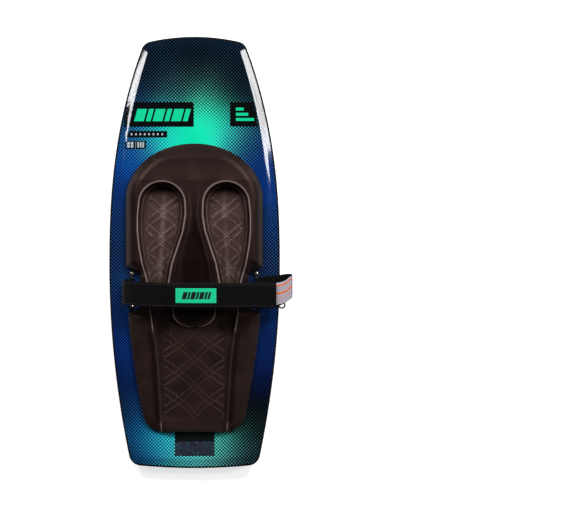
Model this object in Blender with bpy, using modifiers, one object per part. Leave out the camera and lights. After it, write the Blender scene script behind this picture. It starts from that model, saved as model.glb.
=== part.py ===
"""Kneeboard: a moulded ride board with a kneeling pad and a hook-and-loop thigh strap.

Metres, +Z up. The board lies on its hull, nose towards +Y. The origin is the middle of the
flat centre of the hull, on the surface that the board stands on.
"""

import math

import bmesh
import bpy
import numpy as np
from mathutils import Vector

MM = 0.001
GAP = 0.3 * MM  # running and bonding gap between neighbouring pieces

# Board plan
NOSE_Y = 665 * MM
TAIL_Y = -665 * MM
HALF_WIDTH = 263.5 * MM
WIDEST_Y = -40 * MM
NOSE_TAPER, NOSE_REACH, NOSE_POWER = 89.4 * MM, 634 * MM, 2.45
TAIL_TAPER, TAIL_REACH, TAIL_POWER = 57.8 * MM, 568 * MM, 2.0
NOSE_ARC_DROP, NOSE_ARC_AT = 15 * MM, 137 * MM
TAIL_ARC_DROP, TAIL_ARC_AT = 4 * MM, 120 * MM
NOSE_CORNER_RADIUS = 34 * MM
TAIL_CORNER_RADIUS = 38 * MM

# Board section
DECK_Z = 58 * MM
NOSE_RISE, NOSE_RISE_FROM = 50 * MM, 150 * MM
TAIL_RISE, TAIL_RISE_FROM = 22 * MM, -250 * MM
DECK_NOSE_KICK, DECK_NOSE_FROM = 18 * MM, 370 * MM
DECK_TAIL_DIP, DECK_TAIL_FROM = 6 * MM, -580 * MM
SKIN = 1.6 * MM
SKIN_INSET = 3.6 * MM  # the rail band stands this far out of the skins
SEAM_SHARE = 0.66  # how far up the edge the seam is
EDGE_SHARE = 0.09  # a skin's edge off the seam's middle, as a share of the thickness
DECK_BEVEL = 28 * MM
HULL_BEVEL = 52 * MM
BAND_DEPTH = 8.5 * MM
CORE_INSET, CORE_GAP = 10 * MM, 2.2 * MM

# Hull channels, as half widths from the centreline
GROOVE_IN, GROOVE_OUT, GROOVE_DEPTH = 28 * MM, 39 * MM, 3 * MM
FLUTE_IN, FLUTE_OUT, FLUTE_DEPTH = 77 * MM, 119 * MM, 2.5 * MM
CHANNEL_NOSE_END, CHANNEL_TAIL_END, CHANNEL_FADE = 555 * MM, -470 * MM, 60 * MM

# Knee pad
PAD_HALF_WIDTH = 211 * MM
PAD_FRONT_CENTRE, PAD_FRONT_LENGTH = 165 * MM, 171 * MM
PAD_TAIL_Y, PAD_TAIL_CORNER = -550 * MM, 48 * MM
NOTCH_TOP, NOTCH_BOTTOM, NOTCH_DEPTH, NOTCH_SOFT = -38 * MM, -190 * MM, 44 * MM, 30 * MM
WELL_CENTRE_Y = 150 * MM
PAD_EDGE = 9 * MM

# Strap and its fastenings
ANCHOR_X = 192 * MM
ANCHOR_Y = -115 * MM
SCREW_PITCH = 101 * MM
BAR_HEIGHT = 12 * MM
BAR_RADIUS = 3 * MM
FOOT_RADIUS, FOOT_THICK = 10 * MM, 3 * MM
WASHER_RADIUS, WASHER_THICK = 6.5 * MM, 1.2 * MM
SCREW_RADIUS, SCREW_LENGTH, SCREW_CLEARANCE = 3 * MM, 19 * MM, 0.5 * MM
HEAD_RADIUS, HEAD_HEIGHT = 5.5 * MM, 3.5 * MM
SOCKET_RADIUS, SOCKET_DEPTH = 2 * MM, 2 * MM
INSERT_RADIUS, INSERT_LENGTH = 5 * MM, 13 * MM
BLOCK_SIZE = Vector((36 * MM, 136 * MM, 17 * MM))
STRAP_WIDTH = 72 * MM
WEB = 2.5 * MM
LINER_THICK, LINER_WIDTH = 5 * MM, 77 * MM
HOOK_THICK = 1.2 * MM
LABEL_THICK = 0.5 * MM
PATCH_SIZE = (127 * MM, 45 * MM, 1.2 * MM)
PATCH_X = 8.5 * MM
FOLD_Z = 92 * MM
LEFT_FOLD_X, RIGHT_FOLD_X = -219.5 * MM, 301 * MM

# Routes of the webbing's middle plane, from the nose side at right angles to the board's length
ARCH_ROUTE = (
    (-219.5, -122, 92.6),
    (-216, -123, 106),
    (-200, -124, 121),
    (-160, -127, 137),
    (-90, -130, 152),
    (0, -131, 159),
    (90, -131, 155),
    (160, -131, 141),
    (215, -131, 126),
    (253, -131, 116),
)
RIGHT_FOLD_ROUTE = ((275, -121, 103.5), (292, -109, 100.5), (300.3, -103, 95.5), (301, -102, 92.6))
LEFT_BASE_ROUTE = ((-207, -117, 79.5), (-215, -120, 84), (-219.3, -121.5, 89), (-219.5, -122, 91.4))
RIGHT_BASE_ROUTE = (
    (225, -108, 71.5),
    (258, -105, 71),
    (285, -101, 75),
    (297.5, -101, 82.5),
    (301, -101.5, 91.4),
)

MATERIALS = {
    "printed_skin": ((0.01, 0.10, 0.30, 1), 0.18, 0.0),
    "foam": ((0.83, 0.78, 0.60, 1), 0.90, 0.0),
    "rail": ((0.012, 0.013, 0.016, 1), 0.30, 0.0),
    "eva": ((0.040, 0.032, 0.030, 1), 0.62, 0.0),
    "webbing": ((0.012, 0.012, 0.013, 1), 0.85, 0.0),
    "neoprene": ((0.020, 0.019, 0.019, 1), 0.80, 0.0),
    "patch": ((0.0, 0.80, 0.40, 1), 0.45, 0.0),
    "label": ((0.82, 0.80, 0.80, 1), 0.40, 0.0),
    "steel": ((0.62, 0.63, 0.65, 1), 0.25, 1.0),
    "coated_steel": ((0.012, 0.012, 0.014, 1), 0.45, 0.0),
    "brass": ((0.72, 0.53, 0.24, 1), 0.35, 1.0),
    "nylon": ((0.02, 0.02, 0.02, 1), 0.50, 0.0),
}


# ---------------------------------------------------------------- helpers


def clear_scene():
    for obj in list(bpy.data.objects):
        bpy.data.objects.remove(obj, do_unlink=True)


def new_collection(name, hidden=False):
    collection = bpy.data.collections.new(name)
    collection.hide_render = hidden
    bpy.context.scene.collection.children.link(collection)
    return collection


def material(name):
    found = bpy.data.materials.get(name)
    if found:
        return found
    made = bpy.data.materials.new(name)
    made.use_nodes = True
    colour, roughness, metallic = MATERIALS[name]
    shader = made.node_tree.nodes["Principled BSDF"]
    shader.inputs["Base Color"].default_value = colour
    shader.inputs["Roughness"].default_value = roughness
    shader.inputs["Metallic"].default_value = metallic
    return made


def object_from(mesh, name, collection, finish=None, parent=None):
    obj = bpy.data.objects.new(name, mesh)
    collection.objects.link(obj)
    if finish:
        mesh.materials.append(material(finish))
    obj.parent = parent
    return obj


def mesh_from(bm, name, smooth_angle=40):
    mesh = bpy.data.meshes.new(name)
    bm.to_mesh(mesh)
    bm.free()
    mesh.shade_smooth()
    mesh.set_sharp_from_angle(angle=math.radians(smooth_angle))
    return mesh


def smooth_step(t):
    t = np.clip(t, 0.0, 1.0)
    return t * t * (3 - 2 * t)


def spline(points, count):
    """Points evenly spaced in parameter on a Catmull-Rom curve through the given ones, in metres."""
    p = np.array(points, float) * MM
    p = np.vstack([2 * p[0] - p[1], p, 2 * p[-1] - p[-2]])
    out = []
    for s in np.linspace(0, len(p) - 3, count):
        i = min(int(s), len(p) - 4)
        t = s - i
        a, b, c, d = p[i : i + 4]
        out.append(
            0.5 * (2 * b + (c - a) * t + (2 * a - 5 * b + 4 * c - d) * t**2 + (3 * b - a - 3 * c + d) * t**3)
        )
    return np.array(out)


def cut(target, cutter):
    step = target.modifiers.new("cut_" + cutter.name, "BOOLEAN")
    step.operation = "DIFFERENCE"
    step.object = cutter


def cylinder(name, radius, low, high, place, collection, finish=None, sides=20, parent=None):
    """A closed cylinder along Z from low to high, centred on place (x, y)."""
    bm = bmesh.new()
    bmesh.ops.create_cone(
        bm, cap_ends=True, segments=sides, radius1=radius, radius2=radius, depth=high - low
    )
    bmesh.ops.translate(bm, verts=bm.verts, vec=(0, 0, (high + low) / 2))
    obj = object_from(mesh_from(bm, name), name, collection, finish, parent)
    obj.location = (place[0], place[1], 0)
    if collection.hide_render:
        as_cutter(obj)
    return obj


def as_cutter(obj):
    obj.hide_render = True
    obj.display_type = "WIRE"


# ---------------------------------------------------------------- board outline


def side_curve(y):
    """Half width of the plan at y, before the corners are rounded."""
    nose = NOSE_TAPER * (np.clip(y - WIDEST_Y, 0, None) / NOSE_REACH) ** NOSE_POWER
    tail = TAIL_TAPER * (np.clip(WIDEST_Y - y, 0, None) / TAIL_REACH) ** TAIL_POWER
    return HALF_WIDTH - nose - tail


def nose_curve(x):
    return NOSE_Y - NOSE_ARC_DROP * (x / NOSE_ARC_AT) ** 2


def tail_curve(x):
    return TAIL_Y + TAIL_ARC_DROP * (x / TAIL_ARC_AT) ** 2


def meeting_point(end_curve):
    """Where the side meets an end of the plan."""
    x = HALF_WIDTH * 0.6
    for _ in range(40):
        x = float(side_curve(end_curve(x)))
    return np.array([x, end_curve(x)])


def corner_arc(corner, towards_end, towards_side, radius, count=9):
    """A fillet between two nearly straight edges that meet at corner, from the end to the side."""
    a = (towards_end - corner) / np.linalg.norm(towards_end - corner)
    b = (towards_side - corner) / np.linalg.norm(towards_side - corner)
    half = math.acos(float(np.clip(a @ b, -1, 1))) / 2
    centre = corner + (a + b) / np.linalg.norm(a + b) * radius / math.sin(half)
    start = corner + a * radius / math.tan(half)
    stop = corner + b * radius / math.tan(half)
    first = math.atan2(*(start - centre)[::-1])
    turn = math.atan2(*(stop - centre)[::-1]) - first
    turn = (turn + math.pi) % (2 * math.pi) - math.pi
    angles = first + turn * np.linspace(0, 1, count)
    return centre + radius * np.stack([np.cos(angles), np.sin(angles)], axis=1)


def half_outline():
    """The plan's right half as points from the tail's middle to the nose's, and the corners' middles."""
    step = 30 * MM
    tail = meeting_point(tail_curve)
    nose = meeting_point(nose_curve)
    near_tail = np.array([tail[0] - step, tail_curve(tail[0] - step)])
    near_nose = np.array([nose[0] - step, nose_curve(nose[0] - step)])
    above_tail = np.array([side_curve(tail[1] + step), tail[1] + step])
    below_nose = np.array([side_curve(nose[1] - step), nose[1] - step])
    tail_arc = corner_arc(tail, near_tail, above_tail, TAIL_CORNER_RADIUS)
    nose_arc = corner_arc(nose, near_nose, below_nose, NOSE_CORNER_RADIUS)[::-1]
    xs = np.linspace(0, tail_arc[0, 0], 12)[:-1]
    ys = np.linspace(tail_arc[-1, 1], nose_arc[0, 1], 60)[1:-1]
    xn = np.linspace(nose_arc[-1, 0], 0, 12)[1:]
    points = np.vstack(
        [
            np.stack([xs, tail_curve(xs)], axis=1),
            tail_arc,
            np.stack([side_curve(ys), ys], axis=1),
            nose_arc,
            np.stack([xn, nose_curve(xn)], axis=1),
        ]
    )
    return points, len(xs) + 4, len(xs) + len(tail_arc) + len(ys) + 4


def inset(points, distance):
    """Half outline moved inwards, its end points kept on the centreline."""
    ahead = np.vstack([points[1:], points[-1] * (-1, 1)])
    behind = np.vstack([points[1] * (-1, 1), points[:-1]])
    along = ahead - behind
    along[-1] = (-1, 0)
    along[0] = (1, 0)
    normal = np.stack([along[:, 1], -along[:, 0]], axis=1)
    normal /= np.linalg.norm(normal, axis=1, keepdims=True)
    return points - normal * distance


HALF, TAIL_CORNER, NOSE_CORNER = half_outline()
FULL = np.vstack([HALF, (HALF * (-1, 1))[::-1][1:-1]])


def distance_to_outline(x, y):
    """Shortest distance from each point to the plan's outline."""
    a = FULL
    b = np.roll(FULL, -1, axis=0)
    ab = b - a
    p = np.stack([np.ravel(x), np.ravel(y)], axis=1)
    best = np.full(len(p), np.inf)
    for start, edge in zip(a, ab):
        t = np.clip(((p - start) @ edge) / (edge @ edge), 0, 1)
        away = p - start - t[:, None] * edge
        best = np.minimum(best, np.hypot(away[:, 0], away[:, 1]))
    return best.reshape(np.shape(x))


# ---------------------------------------------------------------- board heights


def rocker(y):
    nose = NOSE_RISE * (np.clip(y - NOSE_RISE_FROM, 0, None) / (NOSE_Y - NOSE_RISE_FROM)) ** 2
    tail = TAIL_RISE * (np.clip(TAIL_RISE_FROM - y, 0, None) / (TAIL_RISE_FROM - TAIL_Y)) ** 2
    return nose + tail


def deck_line(y):
    nose = DECK_NOSE_KICK * (np.clip(y - DECK_NOSE_FROM, 0, None) / (NOSE_Y - DECK_NOSE_FROM)) ** 2
    tail = DECK_TAIL_DIP * (np.clip(DECK_TAIL_FROM - y, 0, None) / (DECK_TAIL_FROM - TAIL_Y)) ** 2
    return DECK_Z + nose - tail


def rail_line(y):
    return rocker(y) + SEAM_SHARE * (deck_line(y) - rocker(y))


def skin_edge(y):
    return EDGE_SHARE * (deck_line(y) - rocker(y))


def from_edge(x, y, reach):
    """0 at a skin's edge to 1 where the rail has turned over onto the flat."""
    return np.clip((distance_to_outline(x, y) - SKIN_INSET) / reach, 0, 1)


def channel(x, y):
    """How far the hull's channels are let in, fading out towards the nose and the tail."""
    r = np.abs(x)
    middle = (GROOVE_IN + GROOVE_OUT) / 2
    groove = GROOVE_DEPTH * np.clip(1 - np.abs(r - middle) / (middle - GROOVE_IN), 0, 1)
    across = (r - FLUTE_IN) / (FLUTE_OUT - FLUTE_IN)
    flute = FLUTE_DEPTH * np.sin(np.pi * np.clip(across, 0, 1)) ** 0.5
    nose = smooth_step((CHANNEL_NOSE_END - y) / CHANNEL_FADE)
    tail = smooth_step((y - CHANNEL_TAIL_END) / CHANNEL_FADE)
    return (groove + flute) * nose * tail


def deck_height(x, y):
    """The deck falls to its edge down a flat chamfer with a rounded top."""
    edge = rail_line(y) + skin_edge(y)
    t = from_edge(x, y, DECK_BEVEL)
    return edge + (deck_line(y) - edge) * np.where(t < 0.6, 1.25 * t, 1 - 1.5625 * (1 - t) ** 2)


def hull_height(x, y):
    """The hull turns over in one long curve."""
    edge = rail_line(y) - skin_edge(y)
    turned = 1 - (1 - from_edge(x, y, HULL_BEVEL)) ** 2.2
    return edge + (rocker(y) - edge) * turned + channel(x, y)


def upright_thickness(height, x, y, thickness):
    """Height that a layer of this thickness takes up where the surface slopes."""
    e = 0.5 * MM
    dx = (height(x + e, y) - height(x - e, y)) / (2 * e)
    dy = (height(x, y + e) - height(x, y - e)) / (2 * e)
    return thickness * np.sqrt(1 + np.clip(dx**2 + dy**2, 0, 4))


# ---------------------------------------------------------------- board pieces


def board_grid(distance):
    """Plan points, this far in from the outline, in rows from tail to nose."""
    ring = inset(HALF, distance)
    side = ring[TAIL_CORNER : NOSE_CORNER + 1]
    tail = ring[: TAIL_CORNER + 1]
    nose = ring[NOSE_CORNER:][::-1]
    straight = np.array([0, GROOVE_IN, (GROOVE_IN + GROOVE_OUT) / 2, GROOVE_OUT, FLUTE_IN, 82 * MM,
                         98 * MM, 114 * MM, FLUTE_OUT])
    outer = np.array([0.22, 0.45, 0.64, 0.78, 0.88, 0.95, 1.0])
    rows = np.concatenate([[0, 0.004, 0.012, 0.024, 0.042], np.linspace(0.075, 0.925, 15),
                           [0.958, 0.976, 0.988, 0.996, 1]])
    ends = np.concatenate([straight, FLUTE_OUT + outer * (nose[-1, 0] - FLUTE_OUT)])
    tail_ends = np.concatenate([straight, FLUTE_OUT + outer * (tail[-1, 0] - FLUTE_OUT)])
    nose_y = np.interp(ends, nose[:, 0], nose[:, 1])
    tail_y = np.interp(tail_ends, tail[:, 0], tail[:, 1])
    y = tail_y + (nose_y - tail_y) * rows[:, None]
    edge = np.interp(y, side[:, 1], side[:, 0])
    share = np.concatenate([np.zeros(len(straight)), outer])
    x = np.where(share > 0, FLUTE_OUT + share * (edge - FLUTE_OUT), ends)
    return np.hstack([-x[:, :0:-1], x]), np.hstack([y[:, :0:-1], y])


def slab(name, x, y, top, bottom, collection, finish):
    """A closed solid between two height fields over the same rows of plan points."""
    rows, columns = x.shape
    bm = bmesh.new()
    layers = []
    for z in (top, bottom):
        layers.append([[bm.verts.new((x[i, j], y[i, j], z[i, j])) for j in range(columns)]
                       for i in range(rows)])
    upper, lower = layers
    for i in range(rows - 1):
        for j in range(columns - 1):
            a, b, c, d = ((i, j), (i, j + 1), (i + 1, j + 1), (i + 1, j))
            for p, q, r in ((a, b, c), (a, c, d)):
                bm.faces.new([upper[m][n] for m, n in (p, q, r)])
                bm.faces.new([lower[m][n] for m, n in (r, q, p)])
    rim = [(0, j) for j in range(columns)]
    rim += [(i, columns - 1) for i in range(1, rows)]
    rim += [(rows - 1, j) for j in range(columns - 2, -1, -1)]
    rim += [(i, 0) for i in range(rows - 2, 0, -1)]
    for (m, n), (p, q) in zip(rim, rim[1:] + rim[:1]):
        bm.faces.new((upper[m][n], lower[m][n], lower[p][q], upper[p][q]))
    return object_from(mesh_from(bm, name), name, collection, finish)


def make_board(collection, x, y):
    """Both skins, and the core that fills them up to the rail band."""
    deck = deck_height(x, y)
    deck_drop = upright_thickness(deck_height, x, y, 1.0)
    hull = hull_height(x, y)
    hull_lift = upright_thickness(hull_height, x, y, 1.0)
    deck_skin = slab("deck_skin", x, y, deck, deck - SKIN * deck_drop, collection, "printed_skin")
    slab("hull_skin", x, y, hull + SKIN * hull_lift, hull, collection, "printed_skin")
    x, y = board_grid(CORE_INSET)
    top = deck_height(x, y) - upright_thickness(deck_height, x, y, SKIN + CORE_GAP)
    low = hull_height(x, y) + upright_thickness(hull_height, x, y, SKIN + CORE_GAP)
    core = slab("foam_core", x, y, top, low, collection, "foam")
    return deck_skin, core


def make_rail_band(collection, x, y):
    """The band that closes the edge between the skins, a ring lofted through the skins' edge points."""
    rows, columns = x.shape
    rim = [(0, j) for j in range(columns)]
    rim += [(i, columns - 1) for i in range(1, rows)]
    rim += [(rows - 1, j) for j in range(columns - 2, -1, -1)]
    rim += [(i, 0) for i in range(rows - 2, 0, -1)]
    edge = np.array([(x[m, n], y[m, n]) for m, n in rim])
    along = np.roll(edge, -1, axis=0) - np.roll(edge, 1, axis=0)
    out = np.stack([along[:, 1], -along[:, 0]], axis=1)
    out /= np.linalg.norm(out, axis=1, keepdims=True)
    inside = edge - out * (BAND_DEPTH - SKIN_INSET)
    tip = edge + out * SKIN_INSET
    middle = rail_line(edge[:, 1])

    def under_deck(p, gap):
        return deck_height(p[:, 0], p[:, 1]) - upright_thickness(deck_height, p[:, 0], p[:, 1], SKIN) - gap

    def over_hull(p, gap):
        return hull_height(p[:, 0], p[:, 1]) + upright_thickness(hull_height, p[:, 0], p[:, 1], SKIN) + gap

    nose_height = 1.4 * MM
    section = [
        (tip, middle - nose_height),
        (tip, middle + nose_height),
        (edge, under_deck(edge, 2 * GAP)),
        (inside, np.maximum(under_deck(inside, 6 * GAP), middle + nose_height)),
        (inside, np.minimum(over_hull(inside, 6 * GAP), middle - nose_height)),
        (edge, over_hull(edge, 2 * GAP)),
    ]
    bm = bmesh.new()
    rings = [[bm.verts.new((p[i, 0], p[i, 1], z[i])) for p, z in section] for i in range(len(edge))]
    for here, there in zip(rings, rings[1:] + rings[:1]):
        for k in range(len(section)):
            n = (k + 1) % len(section)
            bm.faces.new((here[k], there[k], there[n], here[n]))
    bmesh.ops.recalc_face_normals(bm, faces=bm.faces)
    return object_from(mesh_from(bm, "rail_band"), "rail_band", collection, "rail")


# ---------------------------------------------------------------- knee pad


def pad_half_width(y):
    """Half width of the pad's plan: an oval front, straight sides with strap notches, a tapering tail."""
    front = np.clip((y - PAD_FRONT_CENTRE) / PAD_FRONT_LENGTH, 0, 1)
    width = PAD_HALF_WIDTH * np.sqrt(1 - front**2)
    below = np.clip(NOTCH_BOTTOM - y, 0, None)
    width = width - 7 * MM * smooth_step(-(y + 60 * MM) / (110 * MM)) - 0.10 * below - 0.16 * below**2 / 1.0
    notch = smooth_step((NOTCH_TOP - y) / NOTCH_SOFT) * smooth_step((y - NOTCH_BOTTOM) / NOTCH_SOFT)
    width = width - NOTCH_DEPTH * notch
    corner = np.clip(PAD_TAIL_Y + PAD_TAIL_CORNER - y, 0, PAD_TAIL_CORNER)
    return width - PAD_TAIL_CORNER + np.sqrt(PAD_TAIL_CORNER**2 - corner**2)


def inside_well(r, y):
    """Distance inside the rim of a knee well, which opens behind the pommel into the seat."""
    at = np.array([-550, -493, -360, -290, -184, -92, -33, 17, 66, 116, 150]) * MM
    outer = np.interp(y, at, np.array([101, 105, 113, 120, 135, 144, 160, 169, 174, 174, 170]) * MM)
    inner = np.interp(y, at[4:], np.array([64, 78, 67, 50, 34, 26, 27]) * MM)
    behind = np.clip((-184 * MM - y) / (46 * MM), 0, 1)
    inner = inner * np.sqrt(1 - behind**2) - 30 * MM * (y < -230 * MM)
    front = (1 - np.hypot((r - 98.5 * MM) / (71.5 * MM), (y - WELL_CENTRE_Y) / (70 * MM))) * 70.5 * MM
    return np.where(y > WELL_CENTRE_Y, front, np.minimum(outer - r, r - inner))


def pad_height(x, y, edge_distance):
    """Height of the pad over the deck: lips round two knee wells, a pommel between and a sunken seat."""
    r = np.abs(x)
    crest = np.interp(y, np.array([-550, -400, -260, -200, -150, -92, -20, 225, 290, 336]) * MM,
                      np.array([17, 22, 25, 28, 32, 37, 41, 41, 28, 14]) * MM)
    height = PAD_EDGE + (crest - PAD_EDGE) * (1 - (1 - np.clip(edge_distance / (38 * MM), 0, 1)) ** 2.2)
    depth = np.interp(y, np.array([-540, -505, -260, -215, -150, -90, 60, 128, 146, 200]) * MM,
                      np.array([0, 5.5, 8, 10, 13, 15, 18, 20, 29, 31]) * MM)
    return height - depth * smooth_step((inside_well(r, y) - 2 * MM) / (19 * MM))


def make_knee_pad(collection):
    rows = np.concatenate([
        PAD_FRONT_CENTRE + PAD_FRONT_LENGTH * np.array([0.998, 0.985, 0.95, 0.88, 0.79, 0.69, 0.58, 0.46, 0.33, 0.18, 0]),
        np.linspace(140, -30, 8) * MM,
        np.array([-42, -52, -62, -80, -105, -130, -155, -168, -178, -188, -200]) * MM,
        np.linspace(-218, -470, 11) * MM,
        np.array([-490, -502, -515, -527, -537, -545, -549, -550]) * MM,
    ])[::-1]
    share = np.array([0, 0.09, 0.17, 0.24, 0.31, 0.40, 0.50, 0.60, 0.68, 0.76, 0.84, 0.91, 0.965, 1.0])
    share = np.concatenate([-share[:0:-1], share])
    half = pad_half_width(rows)
    x = half[:, None] * share
    y = np.repeat(rows[:, None], len(share), axis=1)
    dense = np.linspace(rows[0], rows[-1], 500)
    border = np.stack([pad_half_width(dense), dense], axis=1)
    spread = np.hypot(np.abs(x)[..., None] - border[:, 0], y[..., None] - border[:, 1])
    edge_distance = np.where(np.abs(share) == 1, 0, spread.min(axis=2))
    edge_distance[0] = edge_distance[-1] = 0
    base = np.full_like(x, DECK_Z + GAP)
    return slab("knee_pad", x, y, base + pad_height(x, y, edge_distance), base, collection, "eva")


# ---------------------------------------------------------------- strap


def offset_route(route, distance):
    """The route moved by distance to the left of its way, in the XZ plane."""
    along = np.gradient(route, axis=0)
    normal = np.stack([-along[:, 2], np.zeros(len(route)), along[:, 0]], axis=1)
    normal /= np.linalg.norm(normal, axis=1, keepdims=True)
    return route + normal * distance


def between(route, low, high):
    return route[(route[:, 0] >= low) & (route[:, 0] <= high)]


def strip(name, route, width, thickness, collection, finish, parent=None):
    """A flat band: the route's edges are drawn out across the board and given a thickness."""
    bm = bmesh.new()
    verts = [bm.verts.new((p[0], p[1] - width / 2, p[2])) for p in route]
    edges = [bm.edges.new(pair) for pair in zip(verts, verts[1:])]
    drawn = bmesh.ops.extrude_edge_only(bm, edges=edges)["geom"]
    bmesh.ops.translate(bm, verts=[v for v in drawn if isinstance(v, bmesh.types.BMVert)], vec=(0, width, 0))
    obj = object_from(mesh_from(bm, name), name, collection, finish, parent)
    solid = obj.modifiers.new("thickness", "SOLIDIFY")
    solid.thickness = thickness
    solid.offset = 0
    solid.use_even_offset = True
    return obj


def loop_round_bar(side):
    """The stretch of webbing round the anchor bar, ending where it leaves outboard over the bar."""
    radius = (BAR_RADIUS + 0.4 * MM + WEB / 2)
    leave = 63 if side < 0 else 84
    angles = np.radians(np.linspace(-195, leave, 12))
    x = -side * radius * np.cos(angles) + side * ANCHOR_X
    z = DECK_Z + BAR_HEIGHT + radius * np.sin(angles)
    return np.stack([x, np.full_like(x, ANCHOR_Y + 1 * MM), z], axis=1)


def make_strap(collection):
    """The two halves of the strap, each folded outboard where it leaves its anchor."""
    left_base = np.vstack([loop_round_bar(-1), spline(LEFT_BASE_ROUTE, 8)])
    strip("left_strap_base", left_base, STRAP_WIDTH, WEB, collection, "webbing")
    right_base = np.vstack([loop_round_bar(1), spline(RIGHT_BASE_ROUTE, 14)])
    strip("right_strap_base", right_base, STRAP_WIDTH, WEB, collection, "webbing")

    arch = spline(ARCH_ROUTE, 37)
    strip("left_strap_web", arch, STRAP_WIDTH, WEB, collection, "webbing")
    liner_drop = WEB / 2 + GAP + LINER_THICK / 2
    liner = between(offset_route(arch, -liner_drop), -152 * MM, 249 * MM)
    strip("left_strap_liner", liner, LINER_WIDTH, LINER_THICK, collection, "neoprene")
    patch_lift = WEB / 2 + GAP + PATCH_SIZE[2] / 2
    patch_low = PATCH_X - PATCH_SIZE[0] / 2
    patch_high = PATCH_X + PATCH_SIZE[0] / 2
    fine = spline(ARCH_ROUTE, 400)
    patch = between(offset_route(fine, patch_lift), patch_low, patch_high)[::12]
    strip("strap_patch", patch, PATCH_SIZE[1], PATCH_SIZE[2], collection, "patch")

    flap_drop = liner_drop + LINER_THICK / 2 + GAP + HOOK_THICK + GAP + WEB / 2
    under = between(offset_route(fine, -flap_drop), 70 * MM, 252 * MM)[::12]
    fold = np.array(RIGHT_FOLD_ROUTE) * MM
    flap = spline(np.vstack([under, fold]) / MM, 34)
    strip("right_strap_flap", flap, STRAP_WIDTH, WEB, collection, "webbing")
    hook = between(offset_route(flap, WEB / 2 + GAP + HOOK_THICK / 2), 80 * MM, 238 * MM)
    strip("right_hook_strip", hook, STRAP_WIDTH - 8 * MM, HOOK_THICK, collection, "nylon")
    label = between(offset_route(flap, WEB / 2 + GAP + LABEL_THICK / 2), 252 * MM, 301 * MM)
    strip("strap_label", label, STRAP_WIDTH - 5 * MM, LABEL_THICK, collection, "label")
    make_pull_loop(collection, flap)


def make_pull_loop(collection, flap):
    """A finger loop of narrow tape under the flap's tail edge, as a bent round cord."""
    near = flap[np.argmin(np.abs(flap[:, 0] - 272 * MM))]
    edge_y = near[1] - STRAP_WIDTH / 2
    radius = 1.2 * MM
    drop = (WEB / 2 + radius) * 1.15 + 2 * GAP
    curve = bpy.data.curves.new("pull_loop", "CURVE")
    curve.dimensions = "3D"
    curve.bevel_depth = radius
    curve.bevel_resolution = 2
    curve.use_fill_caps = True
    line = curve.splines.new("POLY")
    angles = np.linspace(math.pi, 2 * math.pi, 9)
    reach = [(-11, 10)] + [(11 * math.cos(a), 12 * math.sin(a)) for a in angles] + [(11, 10)]
    line.points.add(len(reach) - 1)
    for point, (dx, dy) in zip(line.points, reach):
        x = near[0] + dx * MM
        point.co = (x, edge_y + dy * MM, np.interp(x, flap[:, 0], flap[:, 2]) - drop, 1)
    obj = object_from(curve, "pull_loop", collection)
    curve.materials.append(material("webbing"))
    return obj


# ---------------------------------------------------------------- fastenings


def tube_mesh(name, points, radius, collection):
    """A closed round bar along points, as a mesh that Booleans can use."""
    curve = bpy.data.curves.new(name, "CURVE")
    curve.dimensions = "3D"
    curve.bevel_depth = radius
    curve.bevel_resolution = 3
    curve.use_fill_caps = True
    line = curve.splines.new("POLY")
    line.points.add(len(points) - 1)
    for point, place in zip(line.points, points):
        point.co = (*place, 1)
    rod = object_from(curve, name + "_rod", collection)
    bpy.context.view_layer.update()
    evaluated = rod.evaluated_get(bpy.context.evaluated_depsgraph_get())
    mesh = bpy.data.meshes.new_from_object(evaluated)
    bm = bmesh.new()
    bm.from_mesh(mesh)
    bmesh.ops.remove_doubles(bm, verts=bm.verts, dist=0.01 * MM)
    bpy.data.objects.remove(rod)
    return object_from(mesh_from(bm, name), name, collection)


def make_bracket(name, x, collection, cutters):
    """A footman loop: a round bar on two drilled feet, for the webbing to turn round."""
    foot_low = DECK_Z + GAP
    half = SCREW_PITCH / 2
    bar_z = DECK_Z + BAR_HEIGHT
    leg = half - WASHER_RADIUS - BAR_RADIUS - 2 * GAP
    rise = [(-leg, foot_low - 1 * MM), (-leg, bar_z - 3 * MM), (-leg + 0.9 * MM, bar_z - 0.9 * MM),
            (-leg + 3 * MM, bar_z)]
    profile = rise + [(-y, z) for y, z in reversed(rise)]
    bar = tube_mesh(name, [(x, ANCHOR_Y + y, z) for y, z in profile], BAR_RADIUS, collection)
    bar.data.materials.append(material("coated_steel"))
    for sign in (-1, 1):
        place = (x, ANCHOR_Y + sign * half)
        foot = cylinder(f"{name}_foot_{sign}", FOOT_RADIUS, foot_low, foot_low + FOOT_THICK, place, cutters)
        join = bar.modifiers.new(foot.name, "BOOLEAN")
        join.operation = "UNION"
        join.object = foot
        hole = cylinder(f"{name}_hole_{sign}", SCREW_RADIUS + SCREW_CLEARANCE, foot_low - 5 * MM,
                        foot_low + 20 * MM, place, cutters)
        cut(bar, hole)
    flat = cylinder(f"{name}_floor", 90 * MM, foot_low - 9 * MM, foot_low, (x, ANCHOR_Y), cutters, sides=12)
    cut(bar, flat)
    return bar


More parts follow.
